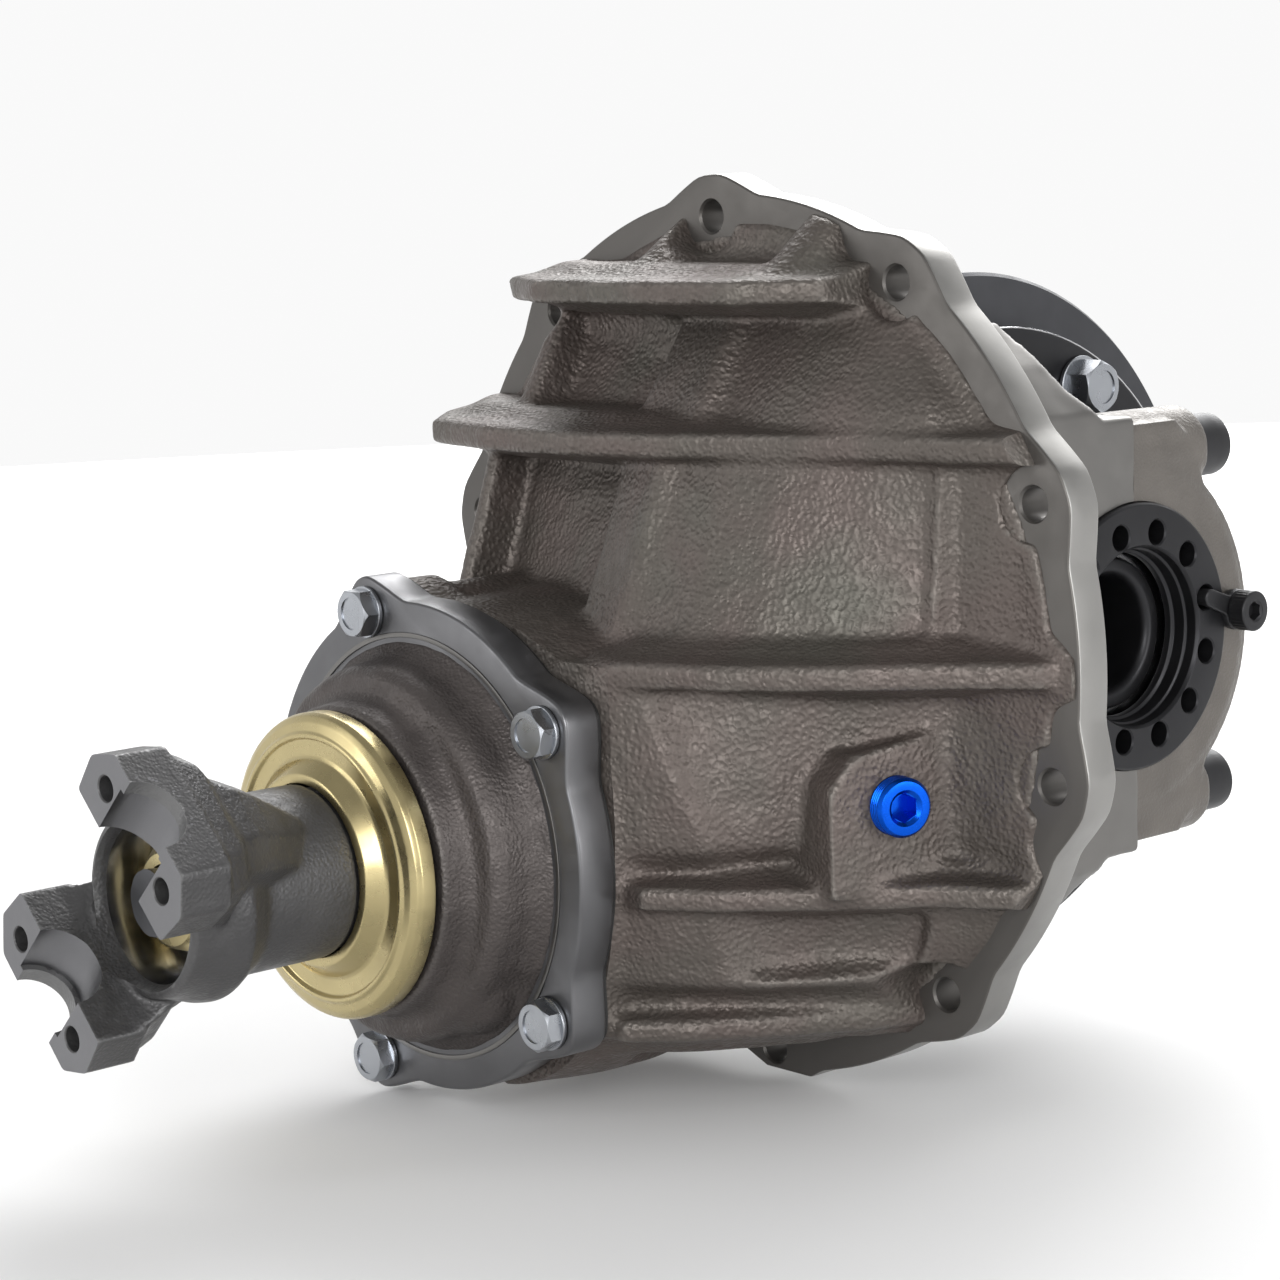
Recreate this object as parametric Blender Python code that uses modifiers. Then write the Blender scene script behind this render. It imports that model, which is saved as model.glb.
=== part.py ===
"""Drop-out differential centre section of a live rear axle, modelled as an assembly of separate pieces.

Frame: X is the axle axis (the ring gear's back faces +X), the pinion points to -Y, +Z is up.
The origin is the centre of the gear case's flange, on the face that bolts to the axle housing.
All sizes below are in millimetres; point() and the builders turn them into metres.
"""

import bmesh
import bpy
import math
from mathutils import Matrix, Vector

MM = 0.001
TAU = 2 * math.pi
GAP = 0.3                     # clearance left between pieces that touch
FLAT_ANGLE = math.radians(0.2)

# ---------------------------------------------------------------- driving dimensions (mm)
FLANGE_THICK = 13.0
FLANGE_RADIUS = 143.0
FLANGE_BOLT_CIRCLE = 136.0
FLANGE_LOBE = 14.0
FLANGE_HOLE = 5.2
FLANGE_HOLES = 10
FLANGE_FIRST_HOLE = -4.0      # degrees from +Z towards +X
# (x, z) outline cut away under the flange's lowest hole
FLANGE_FOOT = [(60, -200), (60, -142.5), (5.7, -142.5), (-9.5, -136.2), (-45, -136.2), (-45, -200)]
RIM_INNER = 141.5              # no fin reaches outside this
REGISTER_RADIUS = 124.0        # what stands behind the flange stays inside this

AXLE_Y = 62.3                 # axle axis: parallel to X, through (y, z) = (AXLE_Y, 0)
PINION_X = -50.5              # pinion axis: parallel to Y
PINION_Z = -60.45

RING_RADIUS = 114.3
RING_BORE = 78.0
RING_BACK_X = 32.0
RING_TEETH = 35
PINION_TEETH = 9
PITCH_RADIUS = 38.0           # pinion pitch radius at the middle of its face
PITCH_Y = -15.0               # the middle of the pinion's face
PINION_TAPER = 0.2            # growth of the pitch radius per mm towards -Y
PINION_TWIST = -0.0307        # tooth twist about the pinion axis, radians per mm of Y
TOOTH_ADDENDUM = 2.4
TOOTH_DEDENDUM = 4.8

CASE_FLANGE_RADIUS = 96.7
CASE_FLANGE_X = 46.0
CARRIER_BOLT_CIRCLE = 84.0
CARRIER_BOLTS = 10
CARRIER_FIRST_BOLT = 27.0     # degrees from +Z towards +Y
JOURNAL_RADIUS = 24.4
AXLE_BORE = 18.5
DIFF_CENTRE_X = -3.0
SIDE_GEAR_TEETH = 18
SPIDER_TEETH = 10
SIDE_GEAR_RADIUS = 36.0       # outer pitch radius
CROSS_PIN_RADIUS = 9.0

PEDESTAL_IN = 71.0            # bearing pedestals and caps lie between these |x|
PEDESTAL_OUT = 101.3
PEDESTAL_HALF_Z = 70.0
SADDLE_RADIUS = 43.0
CAP_BOLT_Z = 56.0
CAP_BOLT_X = 86.0
CAP_SEAT_Y = 101.0
CAP_BACK_RADIUS = 60.2
ADJUSTER_OUT = 103.5
ADJUSTER_THICK = 12.0
ADJUSTER_BORE = 27.5
SPANNER_CIRCLE = 33.6
SPANNER_HOLE = 4.0
SPANNER_HOLES = 12
SPANNER_FIRST = 15.4          # degrees from +Y towards +Z
LOCK_SCREW_Y = 109.0
LOCK_SCREW_Z = 3.5

PAD_Y = -94.5                 # machined pad of the gear case that takes the pinion support
SUPPORT_FRONT_Y = -109.6
SUPPORT_RADIUS = 79.0
SUPPORT_LOBE = 12.6
SUPPORT_BOLT_CIRCLE = 77.5
SUPPORT_BOLTS = 5
SUPPORT_FIRST_BOLT = -17.0    # degrees from +Z towards +X
SPIGOT_RADIUS = 50.0
SPIGOT_END_Y = -50.5
PILOT_BORE = 24.0             # bore for the small bearing at the pinion's inner end

YOKE_FACE_Y = -233.4
YOKE_ANGLE = 45.0             # tilt of the ear-to-ear line, degrees from +X towards +Z
YOKE_PAD_U = 37.9             # strap holes, from the pinion axis along the ear-to-ear line
YOKE_PAD_V = 18.7             # strap holes, either side of the ear-to-ear line
YOKE_HUB_RADIUS = 27.0
JOINT_CAP_RADIUS = 13.5       # universal-joint bearing cap that the saddles take
SLINGER_RADIUS = 48.6

PLUG_AT = (92.8, -38.5, -39.6)
PLUG_RADIUS = 9.2
PLUG_YAW = -17.0              # the plug's axis, degrees from +X towards +Y

# ---------------------------------------------------------------- scene, collections and materials
for old in list(bpy.data.objects):
    bpy.data.objects.remove(old, do_unlink=True)

PARTS = bpy.data.collections.new("differential_centre_section")
CUTTERS = bpy.data.collections.new("cutters")
bpy.context.scene.collection.children.link(PARTS)
bpy.context.scene.collection.children.link(CUTTERS)


def material(name, colour, roughness, metallic):
    made = bpy.data.materials.new(name)
    made.use_nodes = True
    shader = made.node_tree.nodes["Principled BSDF"]
    shader.inputs["Base Color"].default_value = (*colour, 1.0)
    shader.inputs["Roughness"].default_value = roughness
    shader.inputs["Metallic"].default_value = metallic
    return made


CAST_IRON = material("cast_iron", (0.13, 0.115, 0.10), 0.55, 0.6)
FORGED = material("forged_steel", (0.10, 0.10, 0.105), 0.45, 0.8)
MACHINED = material("machined_steel", (0.32, 0.32, 0.33), 0.3, 1.0)
GEAR_STEEL = material("gear_steel", (0.09, 0.09, 0.10), 0.35, 0.9)
BLACK_OXIDE = material("black_oxide", (0.03, 0.03, 0.032), 0.4, 0.8)
BRIGHT_ZINC = material("bright_zinc", (0.62, 0.64, 0.66), 0.25, 1.0)
GOLD_ZINC = material("gold_zinc", (0.62, 0.50, 0.22), 0.25, 1.0)
BEARING_STEEL = material("bearing_steel", (0.45, 0.45, 0.46), 0.2, 1.0)
BLUE_ANODISE = material("blue_anodised", (0.01, 0.12, 0.60), 0.25, 0.9)
BLACK_RUBBER = material("black_rubber", (0.02, 0.02, 0.02), 0.7, 0.0)


# ---------------------------------------------------------------- builders
def point(x, y, z):
    return Vector((x * MM, y * MM, z * MM))


# Each turn takes a builder's local Z to a world axis.
TURN = {
    "X": Matrix.Rotation(math.pi / 2, 4, "Y"),
    "-X": Matrix.Rotation(-math.pi / 2, 4, "Y"),
    "Y": Matrix.Rotation(-math.pi / 2, 4, "X"),
    "Z": Matrix.Identity(4),
}


def add_object(name, mesh, finish, where, collection=PARTS):
    item = bpy.data.objects.new(name, mesh)
    item.matrix_world = where
    collection.objects.link(item)
    if finish is not None:
        mesh.materials.append(finish)
    return item


def place(at, axis="Z"):
    return Matrix.Translation(point(*at)) @ TURN[axis]


def smooth(item, angle=32):
    item.data.shade_smooth()
    item.data.set_sharp_from_angle(angle=math.radians(angle))
    return item


def baked(item, finish=None, weld=1e-6):
    """Replace an object by the mesh its modifiers make, welded."""
    bpy.context.view_layer.update()
    solid = bpy.data.meshes.new_from_object(item.evaluated_get(bpy.context.evaluated_depsgraph_get()))
    work = bmesh.new()
    work.from_mesh(solid)
    bmesh.ops.remove_doubles(work, verts=work.verts, dist=weld)
    bmesh.ops.recalc_face_normals(work, faces=work.faces)
    work.to_mesh(solid)
    work.free()
    name = item.name
    where = item.matrix_world.copy()
    home = item.users_collection[0]
    bpy.data.objects.remove(item, do_unlink=True)
    if finish is not None:
        solid.materials.clear()
    return add_object(name, solid, finish, where, home)


def turned(name, profile, finish, at=(0, 0, 0), axis="X", steps=40):
    """Solid of revolution. The profile is (radius, height) points, top to bottom down the outer side."""
    work = bmesh.new()
    verts = [work.verts.new((radius * MM, 0, height * MM)) for radius, height in profile]
    for first, second in zip(verts, verts[1:]):
        work.edges.new((first, second))
    if profile[0][0] > 0:
        work.edges.new((verts[-1], verts[0]))
    mesh = bpy.data.meshes.new(name)
    work.to_mesh(mesh)
    work.free()
    item = add_object(name, mesh, None, place(at, axis))
    screw = item.modifiers.new("turn", "SCREW")
    screw.steps = steps
    screw.render_steps = steps
    screw.use_merge_vertices = True
    screw.merge_threshold = 1e-6
    return smooth(baked(item, finish))


def drum(name, radius, low, high, finish=None, at=(0, 0, 0), axis="X", steps=32):
    """Plain cylinder from height low to high along its axis."""
    work = bmesh.new()
    bmesh.ops.create_cone(work, cap_ends=True, segments=steps, radius1=radius * MM, radius2=radius * MM,
                          depth=(high - low) * MM,
                          matrix=Matrix.Translation((0, 0, (high + low) / 2 * MM)))
    mesh = bpy.data.meshes.new(name)
    work.to_mesh(mesh)
    work.free()
    return smooth(add_object(name, mesh, finish, place(at, axis)))


def block(name, low, high, finish=None):
    size = [h - l for l, h in zip(low, high)]
    centre = [(h + l) / 2 for l, h in zip(low, high)]
    work = bmesh.new()
    bmesh.ops.create_cube(work, size=1, matrix=Matrix.Diagonal((*[s * MM for s in size], 1)))
    mesh = bpy.data.meshes.new(name)
    work.to_mesh(mesh)
    work.free()
    return add_object(name, mesh, finish, place(centre))


def plate(name, outline, low, high, finish=None, where=None):
    """Flat outline in local X-Y, thickened from low to high along local Z."""
    where = where or Matrix.Identity(4)
    if where.determinant() < 0:
        where = where @ Matrix.Diagonal((1, 1, -1, 1))
        low, high = -high, -low
    curve = bpy.data.curves.new(name, "CURVE")
    curve.dimensions = "2D"
    curve.fill_mode = "BOTH"
    curve.extrude = (high - low) / 2 * MM
    spline = curve.splines.new("POLY")
    spline.points.add(len(outline) - 1)
    for spot, (u, v) in zip(spline.points, outline):
        spot.co = (u * MM, v * MM, 0, 1)
    spline.use_cyclic_u = True
    item = bpy.data.objects.new(name, curve)
    lift = Matrix.Translation((0, 0, (high + low) / 2 * MM))
    item.matrix_world = where @ lift
    PARTS.objects.link(item)
    return smooth(baked(item, finish))


# Plate frames: an outline of (x, z) thickened along -Y to +Y, of (x, y) along Z, of (y, z) along X.
FACING_Y = Matrix(((1, 0, 0, 0), (0, 0, 1, 0), (0, 1, 0, 0), (0, 0, 0, 1)))
FACING_X = Matrix(((0, 0, 1, 0), (1, 0, 0, 0), (0, 1, 0, 0), (0, 0, 0, 1)))


def skin(name, rings, finish=None, closed=False):
    """Loft through rings of points, capped at both ends or, when closed, joined last to first."""
    work = bmesh.new()
    rows = [[work.verts.new(spot) for spot in ring] for ring in rings]
    count = len(rows[0])
    pairs = list(zip(rows, rows[1:]))
    if closed:
        pairs.append((rows[-1], rows[0]))
    else:
        work.faces.new(rows[0])
        work.faces.new(rows[-1])
    for here, there in pairs:
        for i in range(count):
            k = (i + 1) % count
            work.faces.new((here[i], here[k], there[k], there[i]))
    bmesh.ops.recalc_face_normals(work, faces=work.faces)
    mesh = bpy.data.meshes.new(name)
    work.to_mesh(mesh)
    work.free()
    return smooth(add_object(name, mesh, finish, Matrix.Identity(4)))


def tidy(item, flatten=False):
    """Triangulate an object's faces, first merging those that lie in one plane when flatten is set."""
    work = bmesh.new()
    work.from_mesh(item.data)
    if flatten:
        bmesh.ops.dissolve_limit(work, angle_limit=FLAT_ANGLE, verts=work.verts, edges=work.edges)
    bmesh.ops.triangulate(work, faces=work.faces)
    work.to_mesh(item.data)
    work.free()


def combine(target, operation, *tools):
    """Boolean each tool into the target, and bake the result."""
    finish = target.data.materials[0] if target.data.materials else None
    tidy(target)
    for tool in tools:
        tidy(tool)
        step = target.modifiers.new(operation.lower(), "BOOLEAN")
        step.operation = operation
        step.object = tool
        for home in list(tool.users_collection):
            home.objects.unlink(tool)
        CUTTERS.objects.link(tool)
        tool.hide_render = True
        tool.display_type = "WIRE"
        target = baked(target, finish, 1e-8)
        tidy(target)
        bpy.data.objects.remove(tool, do_unlink=True)
    tidy(target, flatten=True)
    return smooth(target)


def join(target, *tools):
    return combine(target, "UNION", *tools)


def cut(target, *tools):
    return combine(target, "DIFFERENCE", *tools)


def clock(radius, degrees, centre=(0, 0)):
    """(x, z) at an angle from +Z towards +X."""
    turn = math.radians(degrees)
    return centre[0] + radius * math.sin(turn), centre[1] + radius * math.cos(turn)


def lobed(base, circle, lobe, count, first, points):
    """Round outline with a rounded lobe at each of its bolt holes."""
    outline = []
    for i in range(points):
        angle = 360 * i / points
        off = (angle - first + 180 / count) % (360 / count) - 180 / count
        reach = base
        across = circle * math.sin(math.radians(off))
        if abs(across) < lobe:
            bump = circle * math.cos(math.radians(off)) + math.sqrt(lobe ** 2 - across ** 2)
            reach = max(base, bump)
        outline.append(clock(reach, angle))
    return outline


def hex_outline(across_flats, turn=0.0):
    corner = across_flats / math.sqrt(3)
    return [(corner * math.cos(math.radians(60 * i + turn)), corner * math.sin(math.radians(60 * i + turn)))
            for i in range(6)]


def hex_bolt(name, shank, length, across_flats, head, washer, finish, where):
    """Flanged hex bolt: its seat is at local Z = 0, the head above and the shank below."""
    item = plate(name, hex_outline(across_flats), 1.2, head, finish, where)
    skirt = turned("skirt", [(0, 1.8), (washer, 1.8), (washer, 0), (shank, 0), (shank, -length),
                             (0, -length)],
                   None, steps=9)
    skirt.matrix_world = where
    return join(item, skirt)


# ---------------------------------------------------------------- gear case (main casting)
# Barrel round the pinion, widening into the flange: (x, z) outlines at chosen y, clockwise from the top.
BARREL = {
    -97: [(-50, 16), (-28, 14), (-8, 8), (8, 0), (19, -12), (25, -30), (26, -52), (24, -76), (18, -100),
          (4, -122), (-18, -135), (-45, -139), (-75, -135), (-100, -118), (-117, -92), (-124, -60),
          (-117, -26), (-88, 6)],
    -70: [(-50, 17), (-28, 15), (-6, 10), (12, 3), (26, -10), (36, -30), (38, -52), (36, -76), (28, -104),
          (10, -125), (-16, -137), (-45, -139), (-73, -134), (-99, -116), (-116, -90), (-122, -58),
          (-115, -24), (-88, 8)],
    -50: [(-50, 18), (-24, 16), (0, 10), (20, 0), (40, -10), (50, -30), (50, -54), (46, -80), (36, -106),
          (16, -124), (-14, -135), (-45, -136), (-74, -130), (-101, -110), (-119, -82), (-125, -50),
          (-119, -16), (-94, 12)],
    -30: [(-50, 20), (-20, 24), (10, 26), (40, 24), (62, 10), (74, -20), (74, -56), (64, -88), (44, -110),
          (18, -122), (-16, -129), (-50, -127), (-82, -114), (-108, -88), (-125, -56), (-129, -20),
          (-120, 14), (-90, 24)],
    -10: [(0, 131), (45, 123), (84, 100), (113, 66), (129, 22), (130, -20), (116, -60), (90, -95),
          (55, -119), (18, -130), (-26, -128), (-65, -113), (-97, -88), (-119, -54), (-130, -14),
          (-127, 30), (-108, 74), (-60, 116)],
}

# Walls between the fins: (x, y) along the front from left to right, at levels of z.
WALLS = (
    {   # above the top fin
        112: [(-74, -9), (-62, -22), (-40, -27), (-10, -30), (20, -30), (42, -26), (58, -17), (66, -9)],
        124: [(-56, -9), (-44, -13), (-30, -15), (-8, -16), (16, -16), (34, -15), (46, -13), (54, -9)],
        134: [(-34, -9), (-26, -12.8), (-16, -12.8), (-6, -12.8), (8, -12.8), (16, -12.8), (26, -12.8),
              (34, -9)],
    },
    {   # two pockets beside a slanting rib, then the dome over the ring gear
        112: [(-76, -9), (-75, -11), (-74, -12), (-73, -16), (-67, -17), (-65, -8), (-18, -7), (-14, -16),
              (12, -18), (17, -14), (34, -16), (50, -16), (67, -14), (72, -9)],
        104: [(-85, -9), (-83, -11), (-80, -13), (-78.5, -22), (-71.5, -23), (-69, -10), (-18, -9),
              (-14, -22), (13, -25), (18, -19), (38, -21), (58, -20), (76, -15), (82, -9)],
        90: [(-99, -9), (-92, -12), (-84, -17), (-77.5, -32), (-70.5, -33), (-67, -18), (-19, -16),
             (-15, -31), (14, -36), (20, -29), (42, -31), (66, -28), (88, -20), (94, -9)],
        76: [(-110, -9), (-100, -12), (-86, -20), (-76, -41), (-69, -42), (-65.5, -27), (-20, -25),
             (-16, -40), (16, -45), (22, -38), (44, -39), (70, -35), (97, -26), (108, -9)],
        64: [(-118, -9), (-104, -13), (-88, -23), (-75, -49), (-68, -50), (-64, -35), (-20, -32),
             (-16, -47), (18, -52), (24, -45), (46, -43), (72, -37), (101, -24), (118, -9)],
    },
    {   # pocket between two upright ribs, then the lower dome and a drip line before the flange
        66: [(-120, -9), (-108, -13), (-96, -19), (-88.5, -43), (-82.5, -44), (-80, -29), (-17, -32),
             (-12, -50), (12, -56), (18, -51), (34, -49), (52, -42), (70, -33), (84, -26), (94, -21),
             (97, -23), (100, -18), (114, -14), (119, -9)],
        35: [(-130, -9), (-112, -13), (-98, -23), (-89.5, -53), (-83.5, -54), (-81, -38), (-19, -46),
             (-14, -60), (10, -66), (17, -62), (34, -60), (52, -52), (70, -41), (84, -31), (94, -23),
             (97, -25.5), (100, -19), (122, -14), (129, -9)],
        12: [(-133, -9), (-114, -13), (-100, -27), (-90, -61), (-84, -62), (-81, -45), (-21, -58),
             (-16, -68), (6, -73), (14, -70), (34, -69), (54, -59), (72, -46), (84, -36), (94, -26),
             (97, -28), (100, -20), (124, -14), (133, -9)],
        0: [(-133, -9), (-114, -13), (-100, -28), (-90, -62), (-84, -63), (-81, -48), (-22, -62),
            (-17, -72), (6, -77), (14, -76), (34, -74), (54, -62), (72, -48), (84, -37), (94, -26),
            (97, -27), (100, -20), (124, -14), (133, -9)],
    },
    {   # barrel side, a slanting crease and a recess that runs back to the flange
        3: [(-20, -97), (14, -97), (27, -94.6), (33, -90), (37, -81), (52, -67), (66, -54), (80, -41),
            (93, -27), (98, -22), (101, -19), (131, -14), (134, -9)],
        -10: [(-20, -97), (14, -97), (27, -94.6), (37, -88), (40, -80), (54, -67), (67, -54), (81, -40),
              (93, -27), (98, -22), (101, -19), (131, -14), (134, -9)],
        -30: [(-20, -97), (14, -97), (25, -95), (44, -85), (47, -77), (57, -66), (68, -53), (81, -39),
              (93, -25), (98, -20), (101, -18), (129, -14), (132, -9)],
        -52: [(-20, -97), (14, -97), (25, -95), (50, -78), (53, -71), (60, -63), (70, -51), (81, -38),
              (93, -24), (97, -20), (100, -18), (122, -14), (127, -9)],
        -68: [(-20, -97), (14, -97), (24, -94.6), (50, -77), (53, -70), (60, -62), (70, -50), (80, -38),
              (90, -24), (95, -20), (98, -18), (114, -14), (118, -9)],
    },
    {   # lower barrel side with a round-cornered pocket
        -66: [(-20, -97), (10, -97), (22, -94.6), (38, -87), (51, -77), (55, -64), (66, -49), (78, -36),
              (89, -25), (94, -27), (99, -20), (113, -14), (118, -9)],
        -80: [(-20, -97), (10, -97), (21, -94), (38, -85), (51, -75), (55, -61), (65, -46), (76, -33),
              (87, -22), (92, -25), (97, -19), (107, -14), (112, -9)],
        -91: [(-20, -97), (8, -96), (19, -93), (36, -84), (52, -72), (57, -58), (64, -45), (74, -33),
              (83, -23), (88, -24), (91, -19), (98, -14), (103, -9)],
        -96.5: [(-20, -97), (6, -95.5), (18, -93), (35, -83), (52, -71), (60, -63), (68, -51), (77, -38),
                (84, -27), (86, -23), (89, -18), (94, -14), (98, -9)],
        -102: [(-20, -97), (4, -94.5), (15, -90), (31, -76), (47, -60), (55, -51), (63, -42), (72, -31),
               (79, -24), (82, -20), (84, -17), (88, -14), (92, -9)],
        -112: [(-20, -96), (2, -93), (13, -90), (28, -78), (42, -62), (50, -52), (58, -40), (65, -28),
               (70, -20), (72, -17), (74, -15), (77, -13), (80, -9)],
        -124: [(-20, -92), (-4, -88), (6, -84), (18, -72), (30, -56), (37, -45), (44, -33), (48, -22),
               (50, -16), (52, -14), (53, -13), (54, -12), (55, -9)],
    },
)


def smooth_ring(points, y, scale=1.0, copies=2):
    """Closed Catmull-Rom curve through (x, z) points, scaled towards WELL_MIDDLE."""
    middle = Vector(WELL_MIDDLE)
    drawn = [middle + (Vector(spot) - middle) * scale for spot in points]
    ring = []
    count = len(drawn)
    for i in range(count):
        a, b, c, d = (drawn[(i + k) % count] for k in (-1, 0, 1, 2))
        for j in range(copies):
            t = j / copies
            spot = 0.5 * (2 * b + (c - a) * t + (2 * a - 5 * b + 4 * c - d) * t * t
                          + (3 * b - 3 * c + d - a) * t ** 3)
            ring.append(point(spot.x, y, spot.y))
    return ring


def wall(levels):
    """Solid behind a wall, lofted straight from level to level."""
    rows = []
    for z, line in sorted(levels.items()):
        rows.append([point(x, y, z) for x, y in [*line, (line[-1][0], -3), (line[0][0], -3)]])
    return skin("wall", rows)


def axle_turned(name, profile, steps=40):
    return turned(name, profile, None, (0, AXLE_Y, 0), "X", steps)


def pinion_turned(name, profile, steps=40):
    return turned(name, profile, None, (PINION_X, 0, PINION_Z), "Y", steps)


FINS = (
    # bottom z, top z, (x, y) outline along the free edge, left to right
    (110.5, 117.0, [(-102, -8), (-88, -36), (-50, -55), (0, -57), (38, -52), (58, -35), (74, -20),
                    (80, -8)]),
    (63.0, 70.5, [(-128, -8), (-122, -36), (-96, -62), (-60, -70), (-18, -70), (16, -62), (48, -46),
                  (78, -34), (108, -26), (134, -18), (136, -8)]),
    (-2.5, 5.0, [(0, -8), (-10, -60), (14, -90), (30, -93), (56, -82), (84, -63), (112, -36), (134, -19),
                 (139, -8)]),
    (-70.5, -64.0, [(0, -8), (0, -60), (22, -90), (38, -93), (58, -79), (80, -57), (104, -31), (124, -19),
                    (128, -8)]),
    (-115.0, -108.5, [(0, -8), (-10, -50), (6, -88), (22, -88), (36, -72), (50, -50), (66, -25),
                      (72, -8)]),
)

GUSSETS = (
    # ridge from a fin to the flange, and its half width
    ((-19, -52, 113), (-19, -14, 138), 8.0),
    ((41, -48, 113), (41, -14, 139), 7.5),
)

# Hollow behind the flange: y, and scale of the barrel's outline at the flange
WELL = ((2, 0.88), (-8, 0.80), (-22, 0.62), (-34, 0.40))
WELL_MIDDLE = (-20, -20)


def gusset(start, end, half):
    """Round-topped web that runs from a fin up to the flange."""
    rows = []
    for x, y, z in (start, end):
        ring = [(x - half * 1.5, -6, z - 12)]
        for i in range(5):
            turn = math.pi * i / 4
            ring.append((x - half * math.cos(turn), y + half * (1 - math.sin(turn)), z - 2))
        ring.append((x + half * 1.5, -6, z - 12))
        rows.append([point(*at) for at in ring])
    return skin("gusset", rows)


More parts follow.
